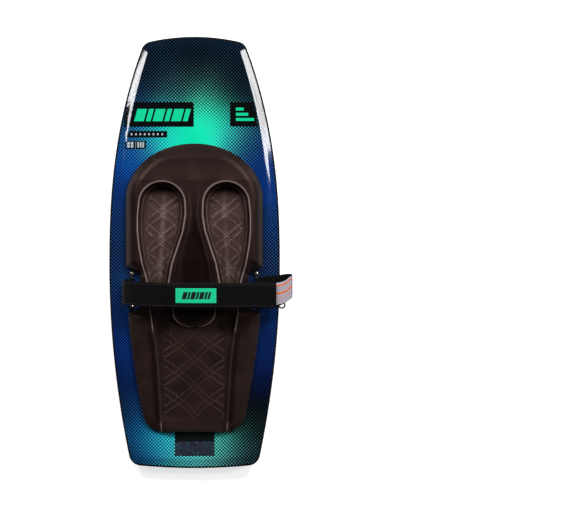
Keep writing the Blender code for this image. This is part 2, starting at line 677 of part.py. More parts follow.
def make_screw(name, place, head_low, collection, cutters):
    """A pan-head screw: a shank and a turned head in one profile, with a hexagon socket."""
    r, h = HEAD_RADIUS, HEAD_HEIGHT
    profile = [(0, h), (r * 0.55, h * 0.96), (r * 0.86, h * 0.70), (r, h * 0.30), (r, 0), (SCREW_RADIUS, 0),
               (SCREW_RADIUS, -SCREW_LENGTH + 1 * MM), (SCREW_RADIUS - 0.8 * MM, -SCREW_LENGTH), (0, -SCREW_LENGTH)]
    bm = bmesh.new()
    verts = [bm.verts.new((x, 0, z)) for x, z in profile]
    for pair in zip(verts, verts[1:]):
        bm.edges.new(pair)
    screw = object_from(mesh_from(bm, name), name, collection, "steel")
    screw.location = (*place, head_low)
    turn = screw.modifiers.new("turn", "SCREW")
    turn.steps = turn.render_steps = 16
    turn.use_merge_vertices = True
    turn.merge_threshold = 0.00005
    socket = cylinder(name + "_socket", SOCKET_RADIUS, head_low + h - SOCKET_DEPTH, head_low + h + 5 * MM,
                      place, cutters, sides=6)
    cut(screw, socket)
    return screw


def make_anchor(side, word, deck_skin, core, collection, cutters):
    """One strap anchor: bracket, screws and washers over the deck, and the block it is fixed to inside."""
    x = side * ANCHOR_X
    block_top = DECK_Z - SKIN - GAP
    make_bracket(f"{word}_bracket", x, collection, cutters)
    bm = bmesh.new()
    bmesh.ops.create_cube(bm, size=1)
    bmesh.ops.scale(bm, vec=BLOCK_SIZE, verts=bm.verts)
    block = object_from(mesh_from(bm, f"{word}_insert_block"), f"{word}_insert_block", collection, "nylon")
    block.location = (x, ANCHOR_Y, block_top - BLOCK_SIZE.z / 2)
    bm = bmesh.new()
    bmesh.ops.create_cube(bm, size=1)
    pocket_size = BLOCK_SIZE + Vector((2 * GAP, 2 * GAP, 0))
    bmesh.ops.scale(bm, vec=pocket_size, verts=bm.verts)
    pocket = object_from(mesh_from(bm, f"{word}_pocket"), f"{word}_pocket", cutters)
    pocket.location = (x, ANCHOR_Y, block_top - BLOCK_SIZE.z / 2 - GAP)
    top_up = object_from(pocket.data.copy(), f"{word}_pocket_mouth", cutters)
    top_up.location = (x, ANCHOR_Y, block_top + BLOCK_SIZE.z / 4)
    for cutter in (pocket, top_up):
        as_cutter(cutter)
        cut(core, cutter)
    for sign, end in ((1, "front"), (-1, "rear")):
        place = (x, ANCHOR_Y + sign * SCREW_PITCH / 2)
        tag = f"{word}_{end}"
        cut(deck_skin, cylinder(f"{tag}_skin_hole", SCREW_RADIUS + SCREW_CLEARANCE, DECK_Z - 9 * MM,
                                DECK_Z + 9 * MM, place, cutters, sides=16))
        cut(block, cylinder(f"{tag}_block_hole", INSERT_RADIUS + GAP, block_top - 40 * MM,
                            block_top + 9 * MM, place, cutters))
        insert = cylinder(f"{tag}_insert", INSERT_RADIUS, block_top - INSERT_LENGTH, block_top - GAP, place,
                          collection, "brass")
        cut(insert, cylinder(f"{tag}_insert_bore", SCREW_RADIUS + GAP, block_top - 40 * MM,
                             block_top + 9 * MM, place, cutters))
        washer_low = DECK_Z + GAP + FOOT_THICK + GAP
        washer = cylinder(f"{tag}_washer", WASHER_RADIUS, washer_low, washer_low + WASHER_THICK, place,
                          collection, "nylon")
        cut(washer, cylinder(f"{tag}_washer_hole", SCREW_RADIUS + GAP, washer_low - 5 * MM,
                             washer_low + 9 * MM, place, cutters))
        make_screw(f"{tag}_screw", place, washer_low + WASHER_THICK + GAP, collection, cutters)


def make_deck_label(collection):
    """The thin data label behind the pad, on the deck."""
    x, y = np.meshgrid(np.linspace(-60, 62, 4) * MM, np.linspace(-626, -553, 5) * MM)
    low = deck_height(x, y) + 0.4 * MM
    return slab("deck_label", x, y, low + 0.4 * MM, low, collection, "label")


def main():
    clear_scene()
    parts = new_collection("kneeboard")
    cutters = new_collection("cutters", hidden=True)
    x, y = board_grid(SKIN_INSET)
    deck_skin, core = make_board(parts, x, y)
    make_rail_band(parts, x, y)
    make_knee_pad(parts)
    for side, word in ((-1, "left"), (1, "right")):
        make_anchor(side, word, deck_skin, core, parts, cutters)
    make_strap(parts)
    make_deck_label(parts)


main()
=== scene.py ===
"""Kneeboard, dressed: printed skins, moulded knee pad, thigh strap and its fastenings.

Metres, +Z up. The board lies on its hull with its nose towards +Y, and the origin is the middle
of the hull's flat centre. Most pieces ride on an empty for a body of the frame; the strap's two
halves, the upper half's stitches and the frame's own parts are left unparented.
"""

import logging
import math
from dataclasses import dataclass, field
from enum import Enum

import bmesh
import bpy
import numpy as np
from mathutils import Matrix, Vector

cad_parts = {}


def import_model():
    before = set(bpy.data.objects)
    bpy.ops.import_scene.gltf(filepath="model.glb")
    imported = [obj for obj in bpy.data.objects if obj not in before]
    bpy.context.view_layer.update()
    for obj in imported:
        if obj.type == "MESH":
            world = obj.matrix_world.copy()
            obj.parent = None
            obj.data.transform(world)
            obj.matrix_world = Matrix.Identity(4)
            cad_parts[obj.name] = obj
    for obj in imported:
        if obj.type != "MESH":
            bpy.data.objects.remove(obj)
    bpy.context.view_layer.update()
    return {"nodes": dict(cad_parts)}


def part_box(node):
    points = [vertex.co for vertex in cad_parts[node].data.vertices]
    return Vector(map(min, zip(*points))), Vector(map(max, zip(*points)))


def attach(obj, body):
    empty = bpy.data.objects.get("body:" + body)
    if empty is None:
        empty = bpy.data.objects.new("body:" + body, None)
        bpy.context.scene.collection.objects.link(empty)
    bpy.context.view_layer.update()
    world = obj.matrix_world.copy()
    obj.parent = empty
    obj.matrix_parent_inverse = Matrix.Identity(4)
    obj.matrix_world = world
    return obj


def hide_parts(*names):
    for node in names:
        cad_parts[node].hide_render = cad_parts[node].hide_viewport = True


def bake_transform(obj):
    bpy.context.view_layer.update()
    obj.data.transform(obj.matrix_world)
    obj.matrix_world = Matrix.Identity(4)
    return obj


MM = 0.001
GAP = 0.3 * MM  # between pieces that touch
LOG = logging.getLogger("kneeboard")

Array = np.ndarray
Tree = bpy.types.NodeTree
Place = tuple[float, float, float]


class Body(Enum):
    """The bodies of the frame that pieces ride on."""

    BOARD = "board"
    LEFT_STRAP = "left_strap"
    RIGHT_STRAP = "right_strap"


# ---------------------------------------------------------------- small tools


def linear(hex_colour: str) -> tuple[float, float, float, float]:
    """Turn an sRGB hex colour into linear red, green, blue and alpha.

    Args:
        hex_colour: six hex digits after a hash sign.

    Returns:
        Four numbers from 0 to 1.
    """
    values = [int(hex_colour[i : i + 2], 16) / 255 for i in (1, 3, 5)]
    return (*(v / 12.92 if v <= 0.04045 else ((v + 0.055) / 1.055) ** 2.4 for v in values), 1.0)


def add_node(tree: Tree, kind: str, inputs: dict | None = None, **settings: object) -> bpy.types.Node:
    """Add a node, set its properties and fill or link its inputs.

    Args:
        tree: the material's node tree.
        kind: the node's type name, without the ShaderNode prefix.
        inputs: a value or an output socket for each input's name or number.
        settings: properties of the node itself.

    Returns:
        The new node.
    """
    made = tree.nodes.new("ShaderNode" + kind)
    for key, value in settings.items():
        setattr(made, key, value)
    for key, value in (inputs or {}).items():
        if isinstance(value, bpy.types.NodeSocket):
            tree.links.new(value, made.inputs[key])
        else:
            made.inputs[key].default_value = value
    return made


def new_finish(name: str) -> tuple[bpy.types.Material, Tree, bpy.types.Node, bpy.types.NodeSocket]:
    """Start a material.

    Args:
        name: what it is called.

    Returns:
        The material, its node tree, its surface shader, and the places its patterns are drawn at.
    """
    made = bpy.data.materials.new(name)
    made.use_nodes = True
    tree = made.node_tree
    at = add_node(tree, "TexCoord").outputs["Object"]
    return made, tree, tree.nodes["Principled BSDF"], at


def smooth_step(t: Array) -> Array:
    """Ease from 0 to 1 as t goes from 0 to 1."""
    t = np.clip(t, 0.0, 1.0)
    return t * t * (3 - 2 * t)


def bump_at(off: Array, width: float) -> Array:
    """A rounded rise, 1 where off is 0 and nearly gone two widths away."""
    return np.exp(-((off / width) ** 2))


def read_off(y: Array, *table: tuple[float, float]) -> Array:
    """Read a measure off a table of places along the board.

    Args:
        y: places along the board, in metres.
        table: each a place and the measure there, in millimetres, from tail to nose.

    Returns:
        The measures in metres.
    """
    at, measures = np.array(table).T * MM
    return np.interp(y, at, measures)


def through(points: Array, count: int) -> Array:
    """Run a smooth curve through points.

    Args:
        points: places on the curve, one a row.
        count: how many points to return.

    Returns:
        Points spaced evenly along the curve.
    """
    p = np.vstack([2 * points[0] - points[1], points, 2 * points[-1] - points[-2]])
    dense = []
    for s in np.linspace(0, len(p) - 3, count * 8):
        i = min(int(s), len(p) - 4)
        t = s - i
        a, b, c, d = p[i : i + 4]
        dense.append(
            0.5 * (2 * b + (c - a) * t + (2 * a - 5 * b + 4 * c - d) * t**2 + (3 * b - a - 3 * c + d) * t**3)
        )
    dense = np.array(dense)
    run = np.concatenate([[0], np.cumsum(np.linalg.norm(np.diff(dense, axis=0), axis=1))])
    even = np.linspace(0, run[-1], count)
    return np.stack([np.interp(even, run, dense[:, k]) for k in range(dense.shape[1])], axis=1)


def piece_from(
    bm: bmesh.types.BMesh, name: str, finish: bpy.types.Material, angle: float = 40
) -> bpy.types.Object:
    """Make an object of a bmesh, smooth but for edges sharper than an angle.

    Args:
        bm: the shape, which is freed.
        name: the piece's name.
        finish: its material.
        angle: in degrees, the sharpest edge that is still shaded smooth.

    Returns:
        The new object, linked to the scene.
    """
    mesh = bpy.data.meshes.new(name)
    bm.to_mesh(mesh)
    bm.free()
    mesh.shade_smooth()
    mesh.set_sharp_from_angle(angle=math.radians(angle))
    mesh.materials.append(finish)
    obj = bpy.data.objects.new(name, mesh)
    bpy.context.scene.collection.objects.link(obj)
    return obj


def closed_sheet(
    name: str, top: Array, bottom: Array, finish: bpy.types.Material, angle: float = 40
) -> bpy.types.Object:
    """Close the space between two grids of points into one solid piece.

    Args:
        name: the piece's name.
        top: rows by columns of points on the side that shows.
        bottom: the same grid on the other side.
        finish: the piece's material.
        angle: in degrees, the sharpest edge that is still shaded smooth.

    Returns:
        The new object.
    """
    rows, columns = top.shape[:2]
    bm = bmesh.new()
    upper, lower = ([[bm.verts.new(p) for p in row] for row in grid] for grid in (top, bottom))
    for i in range(rows - 1):
        for j in range(columns - 1):
            ring = ((i, j), (i, j + 1), (i + 1, j + 1), (i + 1, j))
            bm.faces.new([upper[m][n] for m, n in ring])
            bm.faces.new([lower[m][n] for m, n in reversed(ring)])
    for (m, n), (p, q) in rim_pairs(rows, columns):
        bm.faces.new((upper[m][n], lower[m][n], lower[p][q], upper[p][q]))
    return piece_from(bm, name, finish, angle)


def rim_pairs(rows: int, columns: int) -> list[tuple[tuple[int, int], tuple[int, int]]]:
    """List neighbouring places round a grid's edge, anticlockwise from its first corner."""
    rim = [(0, j) for j in range(columns)]
    rim += [(i, columns - 1) for i in range(1, rows)]
    rim += [(rows - 1, j) for j in range(columns - 2, -1, -1)]
    rim += [(i, 0) for i in range(rows - 2, 0, -1)]
    return list(zip(rim, rim[1:] + rim[:1]))


def bridge(bm: bmesh.types.BMesh, rings: list[list[bmesh.types.BMVert]], closed: bool) -> None:
    """Join neighbouring rings of vertices into a tube.

    Args:
        bm: the shape.
        rings: rings of the same number of vertices.
        closed: whether the last ring meets the first. If not, each end gets a cap.
    """
    count = len(rings[0])
    for here, there in zip(rings, rings[1:] + rings[:1] if closed else rings[1:]):
        for k in range(count):
            n = (k + 1) % count
            bm.faces.new((here[k], here[n], there[n], there[k]))
    if not closed:
        bm.faces.new(rings[0][::-1])
        bm.faces.new(rings[-1])


def paint(obj: bpy.types.Object, name: str, values: Array) -> None:
    """Store a colour or a number at each vertex for the material to read.

    Args:
        obj: the piece.
        name: the attribute's name.
        values: one row of four for a colour, or one number, a vertex.
    """
    kind, slot = ("FLOAT_COLOR", "color") if values.ndim == 2 else ("FLOAT", "value")
    attribute = obj.data.attributes.new(name, kind, "POINT")
    attribute.data.foreach_set(slot, values.astype(np.float32).ravel())


def places(obj: bpy.types.Object) -> Array:
    """Return a piece's vertices, one a row."""
    found = np.empty(len(obj.data.vertices) * 3, np.float32)
    obj.data.vertices.foreach_get("co", found)
    return found.reshape(-1, 3).astype(float)


# ---------------------------------------------------------------- board form


@dataclass(frozen=True)
class BoardForm:
    """The board's plan and heights in metres: the frame's, but for a wider bead along the seam."""

    nose_y: float = 665 * MM
    tail_y: float = -665 * MM
    half_width: float = 263.5 * MM
    widest_y: float = -40 * MM
    deck_z: float = 58 * MM
    inset: float = 5.4 * MM  # from the plan's edge to the skins', covered by the seam moulding's bead
    seam_share: float = 0.66  # how far up the board's edge the seam is
    edge_share: float = 0.09
    skin: float = 1.6 * MM
    nose_corner: float = 34 * MM
    tail_corner: float = 38 * MM

    def side(self, y: Array) -> Array:
        """Half width of the plan at y, before its corners are rounded."""
        nose = 89.4 * MM * (np.clip(y - self.widest_y, 0, None) / 0.634) ** 2.45
        tail = 57.8 * MM * (np.clip(self.widest_y - y, 0, None) / 0.568) ** 2
        return self.half_width - nose - tail

    def nose(self, x: Array) -> Array:
        """Where the nose's shallow arc is at x."""
        return self.nose_y - 15 * MM * (x / 0.137) ** 2

    def tail(self, x: Array) -> Array:
        """Where the tail's shallow arc is at x."""
        return self.tail_y + 4 * MM * (x / 0.120) ** 2

    def rocker(self, y: Array) -> Array:
        """Height of the hull's centreline."""
        nose = 50 * MM * (np.clip(y - 0.150, 0, None) / 0.515) ** 2
        tail = 22 * MM * (np.clip(-0.250 - y, 0, None) / 0.415) ** 2
        return nose + tail

    def deck_line(self, y: Array) -> Array:
        """Height of the deck's centreline."""
        nose = 18 * MM * (np.clip(y - 0.370, 0, None) / 0.295) ** 2
        tail = 6 * MM * (np.clip(-0.580 - y, 0, None) / 0.085) ** 2
        return self.deck_z + nose - tail

    def rail(self, y: Array) -> Array:
        """Height of the seam between the skins."""
        return self.rocker(y) + self.seam_share * (self.deck_line(y) - self.rocker(y))

    def edge(self, y: Array) -> Array:
        """Height of a skin's edge off the seam's middle."""
        return self.edge_share * (self.deck_line(y) - self.rocker(y))

    def half_outline(self) -> tuple[Array, int, int]:
        """Plot the right half of the plan with its corners rounded.

        Returns:
            Points from the tail's middle to the nose's, and the places in that list of the middles
            of the tail's and the nose's corners.
        """
        step = 30 * MM
        ends = []
        for curve, sign in ((self.tail, 1), (self.nose, -1)):
            x = self.half_width * 0.6
            for _ in range(40):
                x = float(self.side(curve(x)))
            corner = np.array([x, curve(x)])
            inner = np.array([x - step, curve(x - step)])
            along = np.array([self.side(corner[1] + sign * step), corner[1] + sign * step])
            ends.append(self.fillet(corner, inner, along, self.tail_corner if sign > 0 else self.nose_corner))
        tail_arc, nose_arc = ends[0], ends[1][::-1]
        xs = np.linspace(0, tail_arc[0, 0], 16)[:-1]
        ys = np.linspace(tail_arc[-1, 1], nose_arc[0, 1], 90)[1:-1]
        xn = np.linspace(nose_arc[-1, 0], 0, 16)[1:]
        line = [
            np.stack([xs, self.tail(xs)], axis=1),
            tail_arc,
            np.stack([self.side(ys), ys], axis=1),
            nose_arc,
            np.stack([xn, self.nose(xn)], axis=1),
        ]
        middle = len(tail_arc) // 2
        return np.vstack(line), len(xs) + middle, len(xs) + len(tail_arc) + len(ys) + middle

    @staticmethod
    def fillet(corner: Array, inner: Array, along: Array, radius: float) -> Array:
        """Round a corner between two nearly straight edges.

        Args:
            corner: where the edges meet.
            inner: a point on the end's edge.
            along: a point on the side's edge.
            radius: the arc's radius.

        Returns:
            Points on the arc, from the end's edge to the side's.
        """
        a = (inner - corner) / np.linalg.norm(inner - corner)
        b = (along - corner) / np.linalg.norm(along - corner)
        half = math.acos(float(np.clip(a @ b, -1, 1))) / 2
        centre = corner + (a + b) / np.linalg.norm(a + b) * radius / math.sin(half)
        start, stop = (corner + v * radius / math.tan(half) - centre for v in (a, b))
        first = math.atan2(start[1], start[0])
        turn = (math.atan2(stop[1], stop[0]) - first + math.pi) % (2 * math.pi) - math.pi
        angles = first + turn * np.linspace(0, 1, 17)
        return centre + radius * np.stack([np.cos(angles), np.sin(angles)], axis=1)

    def edge_distance(self, x: Array, y: Array) -> Array:
        """Shortest distance from each place to the plan's edge."""
        half = self.half_outline()[0]
        line = np.vstack([half, (half * (-1, 1))[::-1][1:-1]])
        p = np.stack([np.ravel(np.abs(x)), np.ravel(y)], axis=1)
        best = np.full(len(p), np.inf)
        for start, stop in zip(line, np.roll(line, -1, axis=0)):
            if start[0] < -0.03:
                continue
            way = stop - start
            t = np.clip(((p - start) @ way) / (way @ way), 0, 1)
            off = p - start - t[:, None] * way
            best = np.minimum(best, np.hypot(off[:, 0], off[:, 1]))
        return best.reshape(np.shape(x))

    def turn_over(self, x: Array, y: Array, reach: float) -> Array:
        """How far the rail has turned over, from 0 at a skin's edge to 1 on the flat."""
        t = np.clip((self.edge_distance(x, y) - self.inset) / reach, 0, 1)
        return 1 - (1 - t) ** 2.2

    def deck(self, x: Array, y: Array) -> Array:
        """Height of the deck, which falls to its edge down a flat chamfer with a rounded top."""
        low = self.rail(y) + self.edge(y)
        t = np.clip((self.edge_distance(x, y) - self.inset) / (28 * MM), 0, 1)
        fall = np.where(t < 0.6, 1.25 * t, 1 - 1.5625 * (1 - t) ** 2)
        return low + (self.deck_line(y) - low) * fall

    def hull(self, x: Array, y: Array) -> Array:
        """Height of the hull, with its channels."""
        low = self.rail(y) - self.edge(y)
        return low + (self.rocker(y) - low) * self.turn_over(x, y, 52 * MM) + self.channels(x, y)

    def channels(self, x: Array, y: Array) -> Array:
        """How far the centre grooves and the two wide flutes are let into the hull."""
        r = np.abs(x)
        groove = 3 * MM * np.clip(1 - np.abs(r - 33.5 * MM) / (5.5 * MM), 0, 1)
        flute = 2.5 * MM * np.sin(np.pi * np.clip((r - 77 * MM) / (42 * MM), 0, 1)) ** 0.5
        ends = smooth_step((555 * MM - y) / (60 * MM)) * smooth_step((y + 470 * MM) / (60 * MM))
        return (groove + flute) * ends

    def grid(self, columns: Array, rows: Array) -> tuple[Array, Array]:
        """Spread plan points over the board so that its edge is a row or a column all round.

        Args:
            columns: places of the straight columns near the centre, in metres from it.
            rows: places of the rows, from 0 at the tail to 1 at the nose.

        Returns:
            The x and the y of the points, each rows by columns.
        """
        half, tail_corner, nose_corner = self.half_outline()
        ahead = np.vstack([half[1:], half[-1] * (-1, 1)])
        behind = np.vstack([half[1] * (-1, 1), half[:-1]])
        way = ahead - behind
        way[0], way[-1] = (1, 0), (-1, 0)
        out = np.stack([way[:, 1], -way[:, 0]], axis=1)
        ring = half - out / np.linalg.norm(out, axis=1, keepdims=True) * self.inset
        side = ring[tail_corner : nose_corner + 1]
        tail, nose = ring[: tail_corner + 1], ring[nose_corner:][::-1]
        outer = 1 - (1 - np.linspace(0, 1, 19)[1:]) ** 1.6
        last = columns[-1]
        ends = np.concatenate([columns, last + outer * (nose[-1, 0] - last)])
        tail_ends = np.concatenate([columns, last + outer * (tail[-1, 0] - last)])
        nose_y = np.interp(ends, nose[:, 0], nose[:, 1])
        tail_y = np.interp(tail_ends, tail[:, 0], tail[:, 1])
        y = tail_y + (nose_y - tail_y) * rows[:, None]
        edge = np.interp(y, side[:, 1], side[:, 0])
        share = np.concatenate([np.zeros(len(columns)), outer])
        x = np.where(share > 0, last + share * (edge - last), ends)
        return np.hstack([-x[:, :0:-1], x]), np.hstack([y[:, :0:-1], y])


FORM = BoardForm()


# ---------------------------------------------------------------- finishes


@dataclass(frozen=True)
class PrintedSkin:
    """Screen-printed ABS film under clear lacquer: smooth, wet-looking, with a dot halftone."""

    name: str = "abs_film_screen_printed"
    dot_pitch: float = 7.4 * MM  # between dots along their slanted rows
    roughness: float = 0.07
    coat: float = 0.25
    ripple_width: float = 9 * MM

    def build(self) -> bpy.types.Material:
        """Build the material.

        Returns:
            The material, which reads the ink attributes bright, dark and cut.
        """
        made, tree, shader, at = new_finish(self.name)
        across = add_node(tree, "SeparateXYZ", {0: at})
        turns = 2 * math.pi / (self.dot_pitch * math.sqrt(2))
        wave_x = add_node(tree, "Math", {0: across.outputs[0], 1: turns}, operation="MULTIPLY").outputs[0]
        wave_y = add_node(tree, "Math", {0: across.outputs[1], 1: turns}, operation="MULTIPLY").outputs[0]
        cos_x = add_node(tree, "Math", {0: wave_x}, operation="COSINE").outputs[0]
        cos_y = add_node(tree, "Math", {0: wave_y}, operation="COSINE").outputs[0]
        dots = add_node(tree, "Math", {0: cos_x, 1: cos_y}, operation="MULTIPLY").outputs[0]
        cut = add_node(tree, "Attribute", attribute_name="cut").outputs["Fac"]
        # A dot shows where the lattice stands above the level that it is cut at.
        above = add_node(tree, "Math", {0: dots, 1: cut}, operation="SUBTRACT").outputs[0]
        ink = add_node(tree, "Math", {0: above, 1: 3.0, 2: 0.5}, operation="MULTIPLY_ADD", use_clamp=True)
        bright = add_node(tree, "Attribute", attribute_name="bright").outputs["Color"]
        dark = add_node(tree, "Attribute", attribute_name="dark").outputs["Color"]
        colour = add_node(tree, "Mix", {0: ink.outputs[0], 6: dark, 7: bright}, data_type="RGBA")
        tree.links.new(colour.outputs[2], shader.inputs["Base Color"])
        # Lacquer never lies quite flat: a slow ripple bends the edges of reflections.
        ripple = add_node(tree, "TexNoise", {"Vector": at, "Scale": 1 / self.ripple_width, "Detail": 2.0})
        bump = add_node(tree, "Bump", {"Height": ripple.outputs[0], "Strength": 0.0015, "Distance": 1 * MM})
        tree.links.new(bump.outputs[0], shader.inputs["Normal"])
        # Fine rubbing leaves the gloss a little uneven.
        rub = add_node(tree, "TexNoise", {"Vector": at, "Scale": 38.0, "Detail": 5.0, "Roughness": 0.7})
        gloss = add_node(tree, "MapRange", {0: rub.outputs[0], 3: self.roughness, 4: self.roughness + 0.02})
        tree.links.new(gloss.outputs[0], shader.inputs["Roughness"])
        shader.inputs["Coat Weight"].default_value = self.coat
        shader.inputs["Coat Roughness"].default_value = 0.03
        return made


@dataclass(frozen=True)
class FlatInk:
    """One opaque ink of the print, under the same lacquer as the rest."""

    name: str
    colour: str
    speckle: float = 0.06

    def build(self) -> bpy.types.Material:
        """Build the material: a nearly even ink film with faint mottling."""
        made, tree, shader, at = new_finish(self.name)
        mottle = add_node(tree, "TexNoise", {"Vector": at, "Scale": 420.0, "Detail": 3.0})
        base = linear(self.colour)
        lighter = tuple(min(1.0, c * (1 + self.speckle) + 0.002) for c in base[:3]) + (1.0,)
        colour = add_node(tree, "Mix", {0: mottle.outputs[0], 6: base, 7: lighter}, data_type="RGBA")
        tree.links.new(colour.outputs[2], shader.inputs["Base Color"])
        shader.inputs["Roughness"].default_value = 0.10
        shader.inputs["Coat Weight"].default_value = 0.25
        shader.inputs["Coat Roughness"].default_value = 0.03
        return made


@dataclass(frozen=True)
class MouldedPlastic:
    """Injection-moulded ABS or nylon with a fine spark-eroded texture, so it shines softly."""

    name: str
    colour: str
    roughness: float
    grain: float = 0.6 * MM
    shine: float = 0.5  # strength of the mirror part of its reflection
    wear: tuple[float, float] = (-0.06, 0.08)  # how far use moves the roughness down and up

    def build(self) -> bpy.types.Material:
        """Build the material: dark plastic with a fine pebble and uneven gloss."""
        made, tree, shader, at = new_finish(self.name)
        pebble = add_node(tree, "TexVoronoi", {"Vector": at, "Scale": 1 / self.grain}, feature="SMOOTH_F1")
        bump = add_node(tree, "Bump", {"Height": pebble.outputs[0], "Strength": 0.08, "Distance": 0.1 * MM})
        tree.links.new(bump.outputs[0], shader.inputs["Normal"])
        wear = add_node(tree, "TexNoise", {"Vector": at, "Scale": 60.0, "Detail": 4.0})
        base = linear(self.colour)
        lighter_tone = tuple(c * 1.5 + 0.004 for c in base[:3]) + (1.0,)
        colour = add_node(tree, "Mix", {0: wear.outputs[0], 6: base, 7: lighter_tone}, data_type="RGBA")
        tree.links.new(colour.outputs[2], shader.inputs["Base Color"])
        low, high = (self.roughness + change for change in self.wear)
        gloss = add_node(tree, "MapRange", {0: wear.outputs[0], 3: low, 4: high})
        tree.links.new(gloss.outputs[0], shader.inputs["Roughness"])
        shader.inputs["Specular IOR Level"].default_value = self.shine
        return made


# ---------------------------------------------------------------- the print


@dataclass(frozen=True)
class Ink:
    """The print around one place: its tone from afar, the ground between its dots and their share."""

    x: float  # millimetres
    y: float
    tone: str
    ground: str
    share: float

    def dots(self) -> Array:
        """Colour of the dots, which gives the tone from afar together with the ground between them."""
        tone, ground = np.array(linear(self.tone)), np.array(linear(self.ground))
        share = min(self.share, 1.0)
        return np.clip((tone - (1 - share) * ground) / share, 0, 1)


DECK_INKS = (
    Ink(0, 655, "#0a1a2c", "#00020a", 0.26),
    Ink(-125, 615, "#0b1b2c", "#00030c", 0.26),
    Ink(125, 615, "#0a1b2a", "#00030a", 0.24),
    Ink(0, 600, "#081522", "#000208", 0.24),
    Ink(-75, 560, "#0c1c2a", "#00040c", 0.22),
    Ink(0, 560, "#070e12", "#000306", 0.20),
    Ink(75, 560, "#0c1a27", "#000308", 0.22),
    Ink(-150, 540, "#060e1a", "#00030d", 0.24),
    Ink(145, 540, "#0a1622", "#000308", 0.24),
    Ink(-100, 520, "#1b3041", "#00060e", 0.22),
    Ink(-30, 520, "#284143", "#000806", 0.20),
    Ink(40, 512, "#2c4b4a", "#000a08", 0.20),
    Ink(105, 505, "#14242a", "#000306", 0.20),
    Ink(-165, 485, "#112a47", "#000818", 0.28),
    Ink(-60, 490, "#266168", "#000c14", 0.27),
    Ink(20, 480, "#308976", "#001a10", 0.34),
    Ink(80, 470, "#1b403f", "#00100c", 0.28),
    Ink(150, 485, "#08101c", "#00030a", 0.26),
    Ink(-195, 440, "#102c50", "#000a20", 0.30),
    Ink(-90, 430, "#1ea092", "#00343a", 0.50),
    Ink(-140, 410, "#20668c", "#001c38", 0.40),
    Ink(30, 440, "#18f0bc", "#008058", 0.82),
    Ink(75, 430, "#28c8a4", "#00382a", 0.60),
    Ink(140, 420, "#204f5e", "#000c18", 0.30),
    Ink(195, 430, "#0e2038", "#00060f", 0.28),
    Ink(30, 375, "#05e7b1", "#04d8a4", 1.12),
    Ink(-50, 368, "#06e5b0", "#04c8a0", 1.02),
    Ink(-92, 352, "#18e0c0", "#009080", 0.78),
    Ink(-125, 345, "#269cb6", "#003a60", 0.50),
    Ink(-160, 335, "#24648e", "#001c40", 0.40),
    Ink(-200, 335, "#10447c", "#000f34", 0.42),
    Ink(-195, 300, "#07478f", "#00164a", 0.52),
    Ink(-188, 265, "#0e4ea3", "#001858", 0.56),
    Ink(-222, 220, "#0a3478", "#000a3a", 0.48),
    Ink(-234, 170, "#092f6a", "#000b34", 0.46),
    Ink(85, 378, "#20e4ba", "#006a50", 0.74),
    Ink(118, 360, "#2c98a0", "#001c20", 0.44),
    Ink(155, 342, "#225070", "#000a18", 0.32),
    Ink(188, 338, "#0f2b59", "#00082a", 0.36),
    Ink(192, 300, "#072e6a", "#000e3c", 0.46),
    Ink(208, 250, "#082f72", "#000e40", 0.50),
    Ink(229, 190, "#09357b", "#001048", 0.50),
    Ink(-241, 90, "#0f3060", "#000620", 0.36),
    Ink(241, 90, "#0d3163", "#000a2c", 0.38),
    Ink(-244, 0, "#122e56", "#000516", 0.34),
    Ink(244, 0, "#142e54", "#000412", 0.33),
    Ink(-240, -90, "#123260", "#00061a", 0.36),
    Ink(240, -90, "#14294e", "#000412", 0.34),
    Ink(-239, -190, "#0c2c60", "#00061c", 0.38),
    Ink(239, -190, "#0c3676", "#000620", 0.40),
    Ink(-229, -260, "#082e6c", "#000a34", 0.40),
    Ink(229, -260, "#082357", "#00082e", 0.40),
    Ink(-218, -325, "#062a6a", "#000c3c", 0.46),
    Ink(218, -325, "#062058", "#000a34", 0.44),
    Ink(-208, -400, "#062152", "#00082e", 0.40),
    Ink(208, -400, "#051338", "#000420", 0.34),
    Ink(-197, -480, "#0e2d53", "#000820", 0.38),
    Ink(195, -480, "#06090f", "#000206", 0.26),
    Ink(-178, -530, "#0e4473", "#000c30", 0.42),
    Ink(178, -530, "#122123", "#000204", 0.22),
    Ink(-152, -560, "#105a91", "#00184e", 0.42),
    Ink(150, -560, "#0f2222", "#000604", 0.24),
    # The tones at (-112, -580), (±80, -585), (±60, -635) and (0, -640) are lighter than the print itself:
    # painted light that offsets the shade on the tail kick, which tilts away from the lamps.
    Ink(-112, -580, "#26aad4", "#004068", 0.52),
    Ink(112, -580, "#358076", "#00160e", 0.38),
    Ink(-80, -585, "#30d0d8", "#005a60", 0.62),
    Ink(80, -585, "#3cd2bc", "#004632", 0.60),
    Ink(-60, -635, "#4adcda", "#002c34", 0.52),
    Ink(60, -635, "#62dcbc", "#002018", 0.50),
    Ink(0, -640, "#5cf6d8", "#004030", 0.68),
    Ink(-120, -635, "#1c6aa8", "#001240", 0.40),
    Ink(120, -635, "#3a5c64", "#000a0c", 0.30),
    Ink(-165, -620, "#0c365d", "#00081e", 0.36),
    Ink(165, -620, "#172632", "#000306", 0.26),
)

